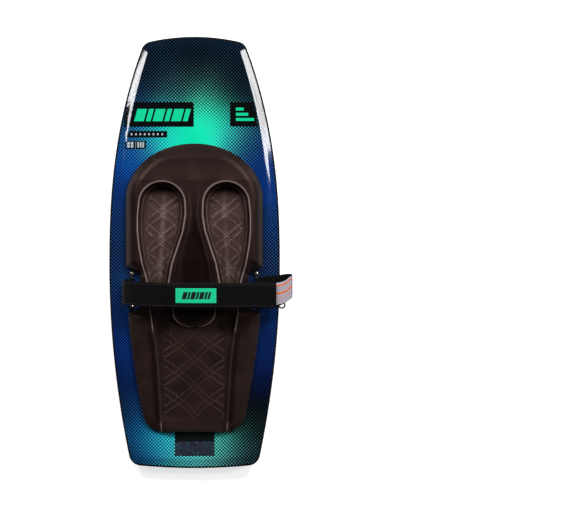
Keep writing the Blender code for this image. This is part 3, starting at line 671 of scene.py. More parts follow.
HULL_INKS = (
    Ink(0, 650, "#141c34", "#00020c", 0.26),
    Ink(-110, 600, "#10193a", "#00030f", 0.28),
    Ink(110, 600, "#10193a", "#00030f", 0.28),
    Ink(0, 560, "#1a4c58", "#000a14", 0.30),
    Ink(-150, 500, "#0c2c66", "#000824", 0.36),
    Ink(150, 500, "#0c2c66", "#000824", 0.36),
    Ink(0, 480, "#10d0a2", "#006c4c", 0.80),
    Ink(-75, 430, "#1c8f88", "#002a34", 0.50),
    Ink(75, 430, "#1c8f88", "#002a34", 0.50),
    Ink(0, 330, "#05e7b1", "#04d8a4", 1.12),
    Ink(0, 150, "#05e7b1", "#04d8a4", 1.12),
    Ink(0, -50, "#05e7b1", "#04d8a4", 1.12),
    Ink(-95, 250, "#1a9c9c", "#003248", 0.52),
    Ink(95, 250, "#1a9c9c", "#003248", 0.52),
    Ink(-95, 50, "#1a9c9c", "#003248", 0.52),
    Ink(95, 50, "#1a9c9c", "#003248", 0.52),
    Ink(-95, -150, "#1a9c9c", "#003248", 0.52),
    Ink(95, -150, "#1a9c9c", "#003248", 0.52),
    Ink(-190, 300, "#08347c", "#000c38", 0.44),
    Ink(190, 300, "#08347c", "#000c38", 0.44),
    Ink(-200, 50, "#072f74", "#000b38", 0.46),
    Ink(200, 50, "#072f74", "#000b38", 0.46),
    Ink(-200, -200, "#072f74", "#000b38", 0.46),
    Ink(200, -200, "#072f74", "#000b38", 0.46),
    Ink(0, -250, "#06dcaa", "#04a880", 0.96),
    Ink(-90, -340, "#168088", "#002438", 0.44),
    Ink(90, -340, "#168088", "#002438", 0.44),
    Ink(0, -400, "#16b894", "#004c3c", 0.66),
    Ink(-180, -430, "#0a2a60", "#000824", 0.36),
    Ink(180, -430, "#0a2a60", "#000824", 0.36),
    Ink(0, -520, "#1c5c60", "#000c14", 0.32),
    Ink(-120, -580, "#121c3c", "#000310", 0.28),
    Ink(120, -580, "#121c3c", "#000310", 0.28),
    Ink(0, -640, "#141c36", "#00030e", 0.26),
)


def print_inks(obj: bpy.types.Object, inks: tuple[Ink, ...], reach: float = 36 * MM) -> None:
    """Blend the inks over a skin, each holding sway around its own place.

    Args:
        obj: the skin.
        inks: what the print is at some places.
        reach: how far a place's ink carries.
    """
    at = places(obj)[:, :2]
    spots = np.array([(ink.x, ink.y) for ink in inks]) * MM
    away = ((at[:, None, :] - spots) ** 2).sum(axis=2)
    weight = np.exp(-(away - away.min(axis=1, keepdims=True)) / (2 * reach**2))
    weight /= weight.sum(axis=1, keepdims=True)
    # The lattice's own spread of heights turns a share of dots into the level that they are cut at.
    turn = np.linspace(0, 2 * np.pi, 120, endpoint=False)
    heights = np.quantile(np.outer(np.cos(turn), np.cos(turn)), np.linspace(0, 1, 101))
    share = weight @ np.array([ink.share for ink in inks])
    cut = np.interp(1 - share, np.linspace(0, 1, 101), heights) - 2 * np.clip(share - 1, 0, None)
    paint(obj, "bright", weight @ np.array([ink.dots() for ink in inks]))
    paint(obj, "dark", weight @ np.array([linear(ink.ground) for ink in inks]))
    paint(obj, "cut", cut)


class Side(Enum):
    """Which skin a graphic is printed on."""

    DECK = 1
    HULL = -1


@dataclass(frozen=True)
class Graphic:
    """Flat shapes of one ink, given by their corners in millimetres, anticlockwise from above."""

    name: str
    side: Side
    shapes: tuple[tuple[tuple[float, float], ...], ...]
    lift: float
    film: float = 0.08 * MM
    margin: float = 7 * MM  # kept clear of the board's edge
    cell: float = 8 * MM  # how finely a film follows the skin

    def build(self, finish: bpy.types.Material) -> bpy.types.Object:
        """Lay the shapes on the skin as thin closed films.

        Args:
            finish: the ink.

        Returns:
            The piece.
        """
        bm = bmesh.new()
        height = FORM.deck if self.side is Side.DECK else FORM.hull
        for shape in self.shapes:
            corners = np.array(shape) * MM
            long = max(np.linalg.norm(corners[1] - corners[0]), np.linalg.norm(corners[2] - corners[3]))
            wide = max(np.linalg.norm(corners[3] - corners[0]), np.linalg.norm(corners[2] - corners[1]))
            m, n = max(1, round(long / self.cell)), max(1, round(wide / self.cell))
            s, t = np.meshgrid(np.linspace(0, 1, m + 1), np.linspace(0, 1, n + 1))
            s, t = s[..., None], t[..., None]
            near = corners[0] * (1 - s) + corners[1] * s
            far = corners[3] * (1 - s) + corners[2] * s
            flat = near * (1 - t) + far * t
            y = flat[..., 1]
            limit = FORM.side(y) - self.margin
            x = np.clip(flat[..., 0], -limit, limit)
            low = height(x, y) + self.side.value * self.lift
            grids = []
            for z in (low + self.side.value * self.film, low):
                points = np.stack([x, y, z], axis=2)
                grids.append([[bm.verts.new(point) for point in row] for row in points])
            outer, inner = grids
            faces = []
            for i in range(n):
                for j in range(m):
                    ring = ((i, j), (i, j + 1), (i + 1, j + 1), (i + 1, j))
                    faces.append([outer[p][q] for p, q in ring])
                    faces.append([inner[p][q] for p, q in reversed(ring)])
            for (p, q), (u, v) in rim_pairs(n + 1, m + 1):
                faces.append([outer[p][q], inner[p][q], inner[u][v], outer[u][v]])
            for face in faces:
                bm.faces.new(face if self.side is Side.DECK else face[::-1])
        return piece_from(bm, self.name, finish, 30)


def block(x0: float, y0: float, x1: float, y1: float, slant: float = 0) -> tuple[tuple[float, float], ...]:
    """Corners of a rectangle, or of one whose top is shifted sideways by a slant."""
    return ((x0, y0), (x1, y0), (x1 + slant, y1), (x0 + slant, y1))


LEAN = 0.28  # how far a mark's bars lean, as a share of their height


def slanted_row(x: float, y: float, height: float, widths: tuple[float, ...], gap: float) -> tuple:
    """A row of slanted bars, the plain mark that the print carries.

    Args:
        x: where the row starts.
        y: the row's lower edge.
        height: the bars' height.
        widths: each bar's width.
        gap: the space between bars.

    Returns:
        The bars' corners.
    """
    made = []
    for width in widths:
        made.append(block(x, y, x + width, y + height, LEAN * height))
        x += width + gap
    return tuple(made)


# ---------------------------------------------------------------- the board


@dataclass
class Board:
    """The moulded board: two printed skins closed by a black seam moulding round the rail."""

    row_count: int = 181
    bunching: float = 0.35  # how much the rows close up towards the ends
    root: float = 3.2 * MM  # how far the seam moulding reaches in between the skins

    def columns(self) -> Array:
        """Places of the straight columns, closest over the hull's channels."""
        spans = ((0, 28, 5), (29, 39, 9), (39, 77, 6), (77, 119, 13))
        first, *rest = (np.linspace(*span) for span in spans)
        return np.concatenate([first] + [part[1:] for part in rest]) * MM

    def rows(self) -> Array:
        """Places of the rows, from 0 at the tail to 1 at the nose."""
        even = np.linspace(0, 1, self.row_count)
        return (1 - np.cos(np.pi * even)) / 2 * self.bunching + even * (1 - self.bunching)

    def build(self, skin: bpy.types.Material, moulding: bpy.types.Material) -> list[bpy.types.Object]:
        """Build both skins and the seam moulding, and print the skins.

        Args:
            skin: the printed film.
            moulding: the black seam's plastic.

        Returns:
            The pieces.
        """
        x, y = FORM.grid(self.columns(), self.rows())
        deck_z, hull_z = FORM.deck(x, y), FORM.hull(x, y)
        deck = np.stack([x, y, deck_z], axis=2)
        hull = np.stack([x, y, hull_z], axis=2)
        under_deck = deck - (0, 0, FORM.skin)
        over_hull = hull + (0, 0, FORM.skin)
        deck_skin = closed_sheet("deck_print", deck, under_deck, skin)
        hull_skin = closed_sheet("hull_print", over_hull, hull, skin)
        print_inks(deck_skin, DECK_INKS)
        print_inks(hull_skin, HULL_INKS)
        band = self.seam(x, y, deck_z, hull_z, moulding)
        for piece, node in ((deck_skin, "deck_skin"), (hull_skin, "hull_skin"), (band, "rail_band")):
            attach(piece, Body.BOARD.value)
            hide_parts(node)
            LOG.info("built %s with %d faces", piece.name, len(piece.data.polygons))
        return [deck_skin, hull_skin, band]

    def seam(
        self, x: Array, y: Array, deck: Array, hull: Array, finish: bpy.types.Material
    ) -> bpy.types.Object:
        """Sweep the seam moulding's half-round bead round the skins' edges.

        Args:
            x: plan places of the skins' points.
            y: the same, along the board.
            deck: the deck's height at each.
            hull: the hull's height at each.
            finish: the moulding's plastic.

        Returns:
            A closed ring.
        """
        rim = [pair[0] for pair in rim_pairs(*x.shape)]
        edge = np.array([(x[m, n], y[m, n]) for m, n in rim])
        top = np.array([deck[m, n] for m, n in rim]) - FORM.skin - GAP
        low = np.array([hull[m, n] for m, n in rim]) + FORM.skin + GAP
        way = np.roll(edge, -1, axis=0) - np.roll(edge, 1, axis=0)
        out = np.stack([way[:, 1], -way[:, 0]], axis=1)
        out /= np.linalg.norm(out, axis=1, keepdims=True)
        middle, half = (top + low) / 2, (top - low) / 2
        section = [(-self.root, -0.9), (-self.root, 0.9)]
        section += [(FORM.inset * math.cos(a), math.sin(a)) for a in np.radians(np.linspace(80, -80, 9))]
        bm = bmesh.new()
        rings = []
        for i in range(len(edge)):
            ring = []
            for off, rise in section:
                px, py = edge[i] + out[i] * off
                ring.append(bm.verts.new((px, py, middle[i] + half[i] * rise)))
            rings.append(ring)
        bridge(bm, rings, closed=True)
        bmesh.ops.recalc_face_normals(bm, faces=bm.faces)
        return piece_from(bm, "seam_moulding", finish, 50)


@dataclass
class Graphics:
    """The print's plain blocks and marks, each a film of its own ink."""

    def build(self, black: bpy.types.Material, mint: bpy.types.Material, pale: bpy.types.Material) -> None:
        """Lay every block and mark.

        Args:
            black: ink of the blocks.
            mint: ink of the large marks.
            pale: ink of the small marks.
        """
        deck_blocks = (
            block(-216, 388, -2, 464),
            block(110, 389, 230, 464),
            block(-214, 355, -84, 375),
            block(-214, 320, -149, 344),
        )
        deck_marks = slanted_row(-186, 405, 38, (30, 15, 30, 15, 30, 15), 6)
        deck_marks += tuple(block(128, y, 128 + w, y + 9) for y, w in ((438, 24), (422, 38), (406, 56)))
        deck_ticks = tuple(block(-196 + 13.5 * i, 362, -191 + 13.5 * i, 368) for i in range(8))
        deck_ticks += (
            block(-207, 324, -199, 332), block(-196, 324, -188, 332), block(-207, 333, -199, 341),
            block(-196, 333, -188, 341), block(-182, 322, -181, 342),
        ) + tuple(block(-176 + 8 * i, 324, -171 + 8 * i, 341) for i in range(3))
        hull_blocks = (
            block(66, 326, 230, 452),
            block(-64, -197, 66, 176),
            block(-64, -289, 67, -268),
            block(-63, -334, -31, -303),
            block(-22, -334, 24, -303),
            block(34, -334, 67, -303),
        )
        bracket = []
        for sx in (-1, 1):
            for sy in (-1, 1):
                x, y = 1 + sx * 79, -10 + sy * 201
                for long, wide in ((16, 3), (3, 16)):
                    xs, ys = sorted((x, x - sx * long)), sorted((y, y - sy * wide))
                    bracket.append(block(xs[0], ys[0], xs[1], ys[1]))
        bars = ((-150, 52), (-86, 26), (-48, 52), (16, 26), (54, 52))
        hull_marks = tuple(block(-24, y, 28, y + w) for y, w in bars)
        hull_marks += tuple(block(88, y, 88 + w, y + 15) for y, w in ((412, 46), (384, 74), (356, 100)))
        hull_ticks = tuple(block(-22, 322 + 31 * i, 22, 327 + 31 * i) for i in range(5))
        hull_ticks += tuple(block(-56 + 15 * i, -282, -50 + 15 * i, -275) for i in range(8))
        for name, side, shapes, finish, lift in (
            ("deck_blocks", Side.DECK, deck_blocks, black, 0.10 * MM),
            ("deck_marks", Side.DECK, deck_marks, mint, 0.22 * MM),
            ("deck_ticks", Side.DECK, deck_ticks, pale, 0.22 * MM),
            ("hull_blocks", Side.HULL, hull_blocks + tuple(bracket), black, 0.10 * MM),
            ("hull_marks", Side.HULL, hull_marks, mint, 0.22 * MM),
            ("hull_ticks", Side.HULL, hull_ticks, pale, 0.22 * MM),
        ):
            piece = Graphic(name, side, shapes, lift).build(finish)
            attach(piece, Body.BOARD.value)
            LOG.info("laid %s", piece.name)


# ---------------------------------------------------------------- knee pad


@dataclass(frozen=True)
class MouldedFoam:
    """Compression-moulded EVA foam: dense closed cells under a satin skin that picks up soft light."""

    name: str = "eva_foam_moulded"
    # The colour ramp runs from painted shade, through the foam's own colour and a lighter tone that is
    # painted light and wear together on the wells' floors, up to a painted highlight.
    shade: str = "#050201"
    colour: str = "#1a1110"
    lighter_tone: str = "#44332f"
    # The ramp's lightest colour: a painted highlight on the wells' rims and ridges.
    painted_highlight: str = "#92807c"
    sheen: str = "#d8b4a8"
    cell: float = 1.3 * MM  # real cells are finer, drawn as coarse as they need to show
    roughness: float = 0.37
    shine: float = 0.26  # the skin is open enough to mirror less than solid plastic

    def build(self) -> bpy.types.Material:
        """Build the material: cell pebble, faint mottling, painted shade and highlights, and floors lighter
        from painted light and wear.
        """
        made, tree, shader, at = new_finish(self.name)
        cells = add_node(tree, "TexVoronoi", {"Vector": at, "Scale": 1 / self.cell}, feature="SMOOTH_F1")
        bump = add_node(tree, "Bump", {"Height": cells.outputs[0], "Strength": 0.10, "Distance": 0.2 * MM})
        tree.links.new(bump.outputs[0], shader.inputs["Normal"])
        cloud = add_node(tree, "TexNoise", {"Vector": at, "Scale": 14.0, "Detail": 6.0, "Roughness": 0.6})
        # Convex edges are drawn lighter, towards the highlight colour: a painted highlight along ridges and
        # rims, with random mottling added.
        edges = add_node(tree, "NewGeometry").outputs["Pointiness"]
        painted_highlight = add_node(tree, "MapRange", {0: edges, 1: 0.49, 2: 0.56}).outputs[0]
        # This attribute says how light each place is painted: low for painted shade, middling for painted
        # light and wear on the floors, high for painted highlights.
        painted_light_and_wear = add_node(tree, "Attribute", attribute_name="painted_light_and_wear").outputs["Fac"]
        mottled = add_node(tree, "Math", {0: cloud.outputs[0], 1: 0.3, 2: -0.15}, operation="MULTIPLY_ADD")
        parts = {0: painted_highlight, 1: 0.3, 2: mottled.outputs[0]}
        edge_highlight_and_mottle = add_node(tree, "Math", parts, operation="MULTIPLY_ADD").outputs[0]
        mixed = add_node(tree, "Math", {0: painted_light_and_wear, 1: edge_highlight_and_mottle}, operation="ADD", use_clamp=True).outputs[0]
        colour = add_node(tree, "ValToRGB", {0: mixed})
        colour.color_ramp.elements[0].color = linear(self.shade)
        colour.color_ramp.elements[1].color = linear(self.painted_highlight)
        colour.color_ramp.elements.new(0.3).color = linear(self.colour)
        colour.color_ramp.elements.new(0.65).color = linear(self.lighter_tone)
        tree.links.new(colour.outputs[0], shader.inputs["Base Color"])
        gloss = add_node(tree, "MapRange", {0: mixed, 3: self.roughness + 0.08, 4: self.roughness - 0.06})
        tree.links.new(gloss.outputs[0], shader.inputs["Roughness"])
        shader.inputs["Specular IOR Level"].default_value = self.shine
        shader.inputs["Specular Tint"].default_value = linear(self.sheen)
        return made


@dataclass
class KneePad:
    """The moulded pad: two knee wells with laced floors, a pommel between them and a quilted seat."""

    half_width: float = 211 * MM
    front_centre: float = 165 * MM
    front_length: float = 171 * MM
    tail_y: float = -550 * MM
    tail_corner: float = 48 * MM
    edge_height: float = 9 * MM
    shoulder: float = 38 * MM
    lace_period: float = 86 * MM
    groove_depth: float = 2.3 * MM
    groove_half: float = 1.6 * MM
    roundness: float = 2.2  # power of the shoulder's curve
    swell: float = 2.2 * MM
    thinnest: float = 5 * MM
    column_bunching: float = 0.92  # how much the columns close up towards the sides, up to 1

    def plan(self, y: Array) -> Array:
        """Half width of the pad's outline at y."""
        front = np.clip((y - self.front_centre) / self.front_length, 0, 1)
        width = self.half_width * np.sqrt(1 - front**2)
        below = np.clip(-0.190 - y, 0, None)
        width = width - 7 * MM * smooth_step(-(y + 0.060) / 0.110) - 0.10 * below - 0.16 * below**2
        notch = smooth_step((-0.038 - y) / 0.030) * smooth_step((y + 0.190) / 0.030)
        width = width - 44 * MM * notch
        corner = np.clip(self.tail_y + self.tail_corner - y, 0, self.tail_corner)
        return width - self.tail_corner + np.sqrt(self.tail_corner**2 - corner**2)

    def well_depth_in(self, r: Array, y: Array) -> tuple[Array, Array]:
        """Measure how far inside the wells' rims each place is.

        Args:
            r: distance from the centreline.
            y: place along the board.

        Returns:
            The distance inside the rim, negative outside it, and the inner rim's own distance from
            the centreline.
        """
        outer = read_off(
            y, (-550, 101), (-493, 105), (-360, 113), (-290, 120), (-184, 135), (-92, 144),
            (-33, 160), (17, 169), (66, 174), (116, 174), (150, 170),
        )
        inner = read_off(y, (-184, 64), (-92, 78), (-33, 67), (17, 50), (66, 34), (116, 26), (150, 27))
        behind = np.clip((-0.184 - y) / 0.046, 0, 1)
        inner = inner * np.sqrt(1 - behind**2) - 30 * MM * (y < -0.230)
        beside = np.minimum(outer - r, r - inner)
        front = (1 - np.hypot((r - 0.0985) / 0.0715, (y - 0.150) / 0.070)) * 0.0705
        return np.where(y > 0.150, front, beside), inner

    def lacing(self, r: Array, y: Array) -> Array:
        """How near each place is to a groove of the wells' laced floors, from 0 to 1."""
        middle = read_off(y, (-90, 110), (-33, 106), (50, 101), (132, 95), (190, 93))
        reach = read_off(y, (-90, 22), (-33, 29), (50, 37), (132, 41), (190, 36))
        found = np.zeros_like(r)
        for start in (56 * MM, 32 * MM):
            phase = (y - start) / self.lace_period
            sway = np.sin(np.pi * phase) * (1 - 0.18 * np.cos(2 * np.pi * phase))
            slope = np.abs(np.cos(np.pi * phase)) * np.pi * reach / self.lace_period
            for sign in (-1, 1):
                off = np.abs(r - middle - sign * reach * sway) / np.sqrt(1 + slope**2)
                found = np.maximum(found, np.clip(1 - off / self.groove_half, 0, 1))
        return found * smooth_step((0.188 - y) / 0.012) * smooth_step((y + 0.088) / 0.012)

    def quilting(self, x: Array, y: Array) -> Array:
        """How near each place is to a groove of the seat's crossing pairs, from 0 to 1."""
        found = np.zeros_like(x)
        bend = 4 * MM * np.sin(x / (24 * MM))
        for way in (-1, 1):
            for start in (-0.312, -0.333):
                along = (y - start - way * (0.82 * x + bend)) / self.lace_period
                off = np.abs(along - np.round(along)) * self.lace_period / 1.29
                found = np.maximum(found, np.clip(1 - off / self.groove_half, 0, 1))
        bounds = smooth_step((0.098 - np.abs(x)) / 0.008) * smooth_step((-0.238 - y) / 0.008)
        return found * bounds * smooth_step((y + 0.512) / 0.008)

    def height(self, x: Array, y: Array, edge: Array) -> Array:
        """Height of the pad over the deck.

        Args:
            x: places across the board.
            y: places along it.
            edge: each place's distance from the pad's outline.

        Returns:
            Heights in metres.
        """
        r = np.abs(x)
        crest = read_off(
            y, (-550, 17), (-400, 22), (-260, 25), (-200, 28), (-150, 32), (-92, 37),
            (-20, 40), (225, 39), (290, 27), (336, 13),
        )
        round_off = 1 - (1 - np.clip(edge / self.shoulder, 0, 1)) ** self.roundness
        height = self.edge_height + (crest - self.edge_height) * round_off
        inside, inner = self.well_depth_in(r, y)
        front = smooth_step((y + 0.230) / 0.120)
        height = height + self.beads(r, y, inside, inner) - self.walls(y, inside)
        floor = self.floor(inside)
        grooves = self.lacing(r, y) * floor + self.quilting(x, y) * (inside > 12 * MM)
        # The floors bulge a little between their edges, as the shins press into them.
        bulge = np.cos(np.pi * np.clip((y - 0.010) / (2 * self.lace_period), -1, 1))
        height = height + self.swell * bulge * floor * front - self.groove_depth * smooth_step(grooves)
        return np.maximum(height, self.thinnest)

    @staticmethod
    def floor(inside: Array) -> Array:
        """How far each place is over from the walls to the floor of a well, from 0 to 1."""
        return smooth_step((inside - 16 * MM) / (6 * MM))

    @staticmethod
    def beads(r: Array, y: Array, inside: Array, inner: Array) -> Array:
        """How far the collars and beads round the wells stand proud, less the pommel's hollow.

        Args:
            r: distance from the centreline.
            y: place along the board.
            inside: distance inside the wells' rims.
            inner: the inner rim's distance from the centreline.

        Returns:
            Heights in metres.
        """
        front = smooth_step((y + 0.230) / 0.120)
        # A collar rises round each well, with a bead along its crest and a second one on the pommel side.
        collar = 1.4 * MM * (bump_at(inside, 12 * MM) + bump_at(inside, 2.8 * MM)) * (inside < 0)
        crest = 2.8 * MM * (inside >= 0) * bump_at(inside, 2.8 * MM)
        second = read_off(y, (-184, 18), (-92, 27), (17, 18), (66, 16), (116, 17), (162, 13))
        off = (inner - second - r) / (3.4 * MM)
        ends = smooth_step((0.215 - y) / 0.06) * smooth_step((y + 0.19) / 0.05)
        pommel = smooth_step(off / 4.7) * smooth_step((0.150 - y) / 0.120) * smooth_step((y + 0.260) / 0.060)
        hollow = 5 * MM * pommel * smooth_step((y + 0.205) / 0.050)
        back = smooth_step((-0.150 - y) / 0.020) * (y > -0.236)
        return (
            (collar + crest) * front
            + 1.6 * MM * bump_at(off, 1) * ends
            + 1.2 * MM * bump_at(inside, 3 * MM) * back
            - hollow
        )

    @staticmethod
    def walls(y: Array, inside: Array) -> Array:
        """How far the wells go down: in two steps at the front, where it is deepest, in a slope at the seat.

        Args:
            y: place along the board.
            inside: distance inside the wells' rims.

        Returns:
            Depths in metres.
        """
        deep = read_off(
            y, (-540, 0), (-505, 5.5), (-260, 8), (-215, 10), (-150, 13), (-90, 15), (50, 17),
            (110, 21), (150, 28), (190, 31),
        )
        upper_step = smooth_step((inside - 2 * MM) / (8 * MM))
        lower_step = smooth_step((inside - 12.5 * MM) / (8.5 * MM))
        slope = smooth_step((inside - 2 * MM) / (11 * MM))
        seat = smooth_step((-0.150 - y) / 0.070)
        return deep * ((0.40 * upper_step + 0.60 * lower_step) * (1 - seat) + slope * seat)

    def painted_light_and_wear(self, x: Array, y: Array) -> Array:
        """How light each place is painted, from painted shade on the pommel to painted highlights on the
        wells' rims.
        """
        r = np.abs(x)
        inside, inner = self.well_depth_in(r, y)
        cup = smooth_step((0.212 - y) / 0.045)
        floor = smooth_step((inside - 10 * MM) / (10 * MM)) * smooth_step((y + 0.150) / 0.090)
        between = smooth_step((inner - 4 * MM - r) / (34 * MM)) * smooth_step((0.190 - y) / 0.130)
        pommel_shade = between * smooth_step((y + 0.26) / 0.09)
        flank = smooth_step((r - 0.172) / 0.020) * smooth_step((0.250 - y) / 0.050) * (y > -0.200)
        # The wells' floors are lighter, painted light and wear together; the pommel and the flanks are
        # darker, painted shade.
        found = 0.32 + 0.22 * floor * cup - 0.26 * pommel_shade - 0.20 * flank
        # Painted shade over the pad's front slope.
        found = found - 0.10 * smooth_step((y - 0.240) / 0.050)
        # Painted shadow on the cups' walls and floors under the wells' front rims.
        found = found - 0.20 * smooth_step((inside - 4 * MM) / (8 * MM)) * (1 - cup) * (y > 0.150)
        return found + self.highlight_and_shade_lines(x, y, inside, floor, cup)

    def highlight_and_shade_lines(self, x: Array, y: Array, inside: Array, floor: Array, cup: Array) -> Array:
        """How much painted highlight the rims, the floors' middles and the grooves' shoulders get, and how
        much painted shade lies beside them.

        Args:
            x: places across the board.
            y: places along it.
            inside: distance inside the wells' rims.
            floor: how far each place is over to the floor of a well.
            cup: 0 in the cups at the front of the wells, 1 behind them.

        Returns:
            What to add to the painted light, less than 0 for painted shade in the grooves and outside the
            seat's rims.
        """
        beyond = smooth_step((-0.235 - y) / 0.020) * smooth_step((y + 0.530) / 0.020)
        # Painted highlights along the wells' rims, as a streak of reflected lamp light down the middle of
        # each floor, on the second rim at the step and along the seat's quilting.
        rim = bump_at(inside - 0.5 * MM, 2.2 * MM) * smooth_step((0.240 - y) / 0.010)
        # Painted shade in a band just outside the seat's rims.
        channel = 0.16 * bump_at(inside + 9 * MM, 7 * MM) * beyond
        off = np.abs(x) - read_off(y, (-90, 106), (50, 98), (190, 92))
        laced = self.lacing(np.abs(x), y) * floor
        # Painted highlight on the grooves' shoulders and painted shade in the grooves themselves.
        shoulders = 0.32 * bump_at(laced - 0.40, 0.20) - 0.22 * smooth_step((laced - 0.65) / 0.25)
        step = 0.16 * bump_at(inside - 12 * MM, 1.8 * MM) * (y > -0.190) * (y < 0.185)
        # Painted light at the front of the seat, lifting the shadow that the strap casts there.
        front_of_seat = 0.16 * bump_at(y + 0.232, 0.026) * (np.abs(x) < 0.075)
        quilted = 0.16 * bump_at(self.quilting(x, y) - 0.45, 0.25)
        lines = rim * (0.55 - 0.47 * beyond) + 0.12 * bump_at(off, 9 * MM) * floor * cup + step
        return lines + shoulders * cup + quilted + front_of_seat - channel

    def build(self, finish: bpy.types.Material) -> bpy.types.Object:
        """Mould the pad.

        Args:
            finish: its foam.

        Returns:
            The piece.
        """
        turn = np.sin(np.linspace(0, np.pi / 2, 130))
        fine_turn = np.sin(np.linspace(0, np.pi / 2, 320))
        rows = np.concatenate(
            [
                self.tail_y + (1 - np.cos(np.linspace(0, np.pi / 2, 30))) * self.tail_corner,
                np.linspace(self.tail_y + self.tail_corner, self.front_centre, 401)[1:],
                self.front_centre + turn[1:-1] * self.front_length,
            ]
        )
        last = self.column_bunching * np.pi / 2
        share = np.sin(np.linspace(-1, 1, 251) * last) / np.sin(last)
        half = self.plan(rows)
        x = half[:, None] * share
        y = np.repeat(rows[:, None], len(share), axis=1)
        dense = np.concatenate([rows[:-1:2], self.front_centre + fine_turn * self.front_length])
        border = np.stack([self.plan(dense), dense], axis=1)
        edge = np.full(x.shape, np.inf)
        for bx, by in border:
            edge = np.minimum(edge, np.hypot(np.abs(x) - bx, y - by))
        edge[:, [0, -1]] = edge[[0, -1], :] = 0
        base = FORM.deck_z + GAP
        top = base + self.height(x, y, edge)
        low = np.full_like(top, base)
        pad = solid_field("knee_pad_moulded", x, y, top, low, finish)
        painted_light_and_wear = self.painted_light_and_wear(x, y).ravel()
        paint(pad, "painted_light_and_wear", np.concatenate([painted_light_and_wear, painted_light_and_wear]))
        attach(pad, Body.BOARD.value)
        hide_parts("knee_pad")
        LOG.info("moulded %s with %d faces", pad.name, len(pad.data.polygons))
        return pad


def solid_field(
    name: str, x: Array, y: Array, top: Array, low: Array, finish: bpy.types.Material
) -> bpy.types.Object:
    """Close a finely sampled height field into one solid.

    Args:
        name: the piece's name.
        x: rows by columns of places across the board.
        y: the same, along the board.
        top: heights of the upper side.
        low: heights of the underside.
        finish: the piece's material.

    Returns:
        The new object.
    """
    rows, columns = x.shape
    number = np.arange(rows * columns).reshape(rows, columns)
    corners = [number[:-1, :-1], number[:-1, 1:], number[1:, 1:], number[1:, :-1]]
    quads = np.stack(corners, axis=-1).reshape(-1, 4)
    upper = np.stack([x, y, top], axis=-1).reshape(-1, 3)
    lower = np.stack([x, y, low], axis=-1).reshape(-1, 3)
    rim = np.array([number[m, n] for (m, n), _ in rim_pairs(rows, columns)])
    after = np.roll(rim, -1)
    count = rows * columns
    walls = np.stack([rim, rim + count, after + count, after], axis=-1)
    faces = np.vstack([quads, quads[:, ::-1] + count, walls])
    mesh = bpy.data.meshes.new(name)
    mesh.from_pydata(np.vstack([upper, lower]).tolist(), [], faces.tolist())
    mesh.validate()
    mesh.shade_smooth()
    mesh.set_sharp_from_angle(angle=math.radians(62))
    mesh.materials.append(finish)
    obj = bpy.data.objects.new(name, mesh)
    bpy.context.scene.collection.objects.link(obj)
    return obj


# ---------------------------------------------------------------- strap


@dataclass(frozen=True)
class WovenNylon:
    """Nylon webbing, plain woven and brushed: matt, ribbed and slightly furry at grazing light."""

    name: str = "nylon_webbing_woven"
    colour: str = "#030202"
    # The lighter colour goes on the weave's crests, a painted highlight; the hollows keep the darker one, a
    # painted shade.
    crest: str = "#080606"
    rib: float = 2.4  # millimetres along the strap, twice the real rib so that it shows
    yarn: float = 1.8  # millimetres across it
    fur: float = 0.015

    def build(self) -> bpy.types.Material:
        """Build the material from the run and across attributes, both in millimetres."""
        made, tree, shader, at = new_finish(self.name)
        run = add_node(tree, "Attribute", attribute_name="run").outputs["Fac"]
        across = add_node(tree, "Attribute", attribute_name="across").outputs["Fac"]
        warp = add_node(tree, "Math", {0: run, 1: 2 * math.pi / self.rib}, operation="MULTIPLY").outputs[0]
        turns = 2 * math.pi / self.yarn
        weft = add_node(tree, "Math", {0: across, 1: turns}, operation="MULTIPLY").outputs[0]
        # Every second yarn is half a rib on, as in a plain weave.
        shifted = add_node(tree, "Math", {0: weft, 1: 0.5, 2: warp}, operation="MULTIPLY_ADD").outputs[0]
        ribs = add_node(tree, "Math", {0: shifted}, operation="SINE").outputs[0]
        yarns = add_node(tree, "Math", {0: weft}, operation="COSINE").outputs[0]
        woven = add_node(tree, "Math", {0: ribs, 1: yarns, 2: 0.5}, operation="MULTIPLY_ADD").outputs[0]
        fuzz = add_node(tree, "TexNoise", {"Vector": at, "Scale": 900.0, "Detail": 2.0}).outputs[0]
        height = add_node(tree, "Math", {0: fuzz, 1: 0.6, 2: woven}, operation="MULTIPLY_ADD").outputs[0]
        bump = add_node(tree, "Bump", {"Height": height, "Strength": 0.55, "Distance": 0.35 * MM})
        tree.links.new(bump.outputs[0], shader.inputs["Normal"])
        # Painted highlight on the weave's crests and painted shade in its hollows.
        colour = add_node(
            tree, "Mix", {0: height, 6: linear(self.colour), 7: linear(self.crest)}, data_type="RGBA"
        )
        tree.links.new(colour.outputs[2], shader.inputs["Base Color"])
        dust = add_node(tree, "TexNoise", {"Vector": at, "Scale": 30.0, "Detail": 4.0})
        matt = add_node(tree, "MapRange", {0: dust.outputs[0], 3: 0.74, 4: 0.92})
        tree.links.new(matt.outputs[0], shader.inputs["Roughness"])
        shader.inputs["Specular IOR Level"].default_value = 0.12
        shader.inputs["Sheen Weight"].default_value = self.fur
        shader.inputs["Sheen Roughness"].default_value = 0.45
        return made


WAVE_SCALE = 0.16  # a wave texture of this scale repeats about once a metre


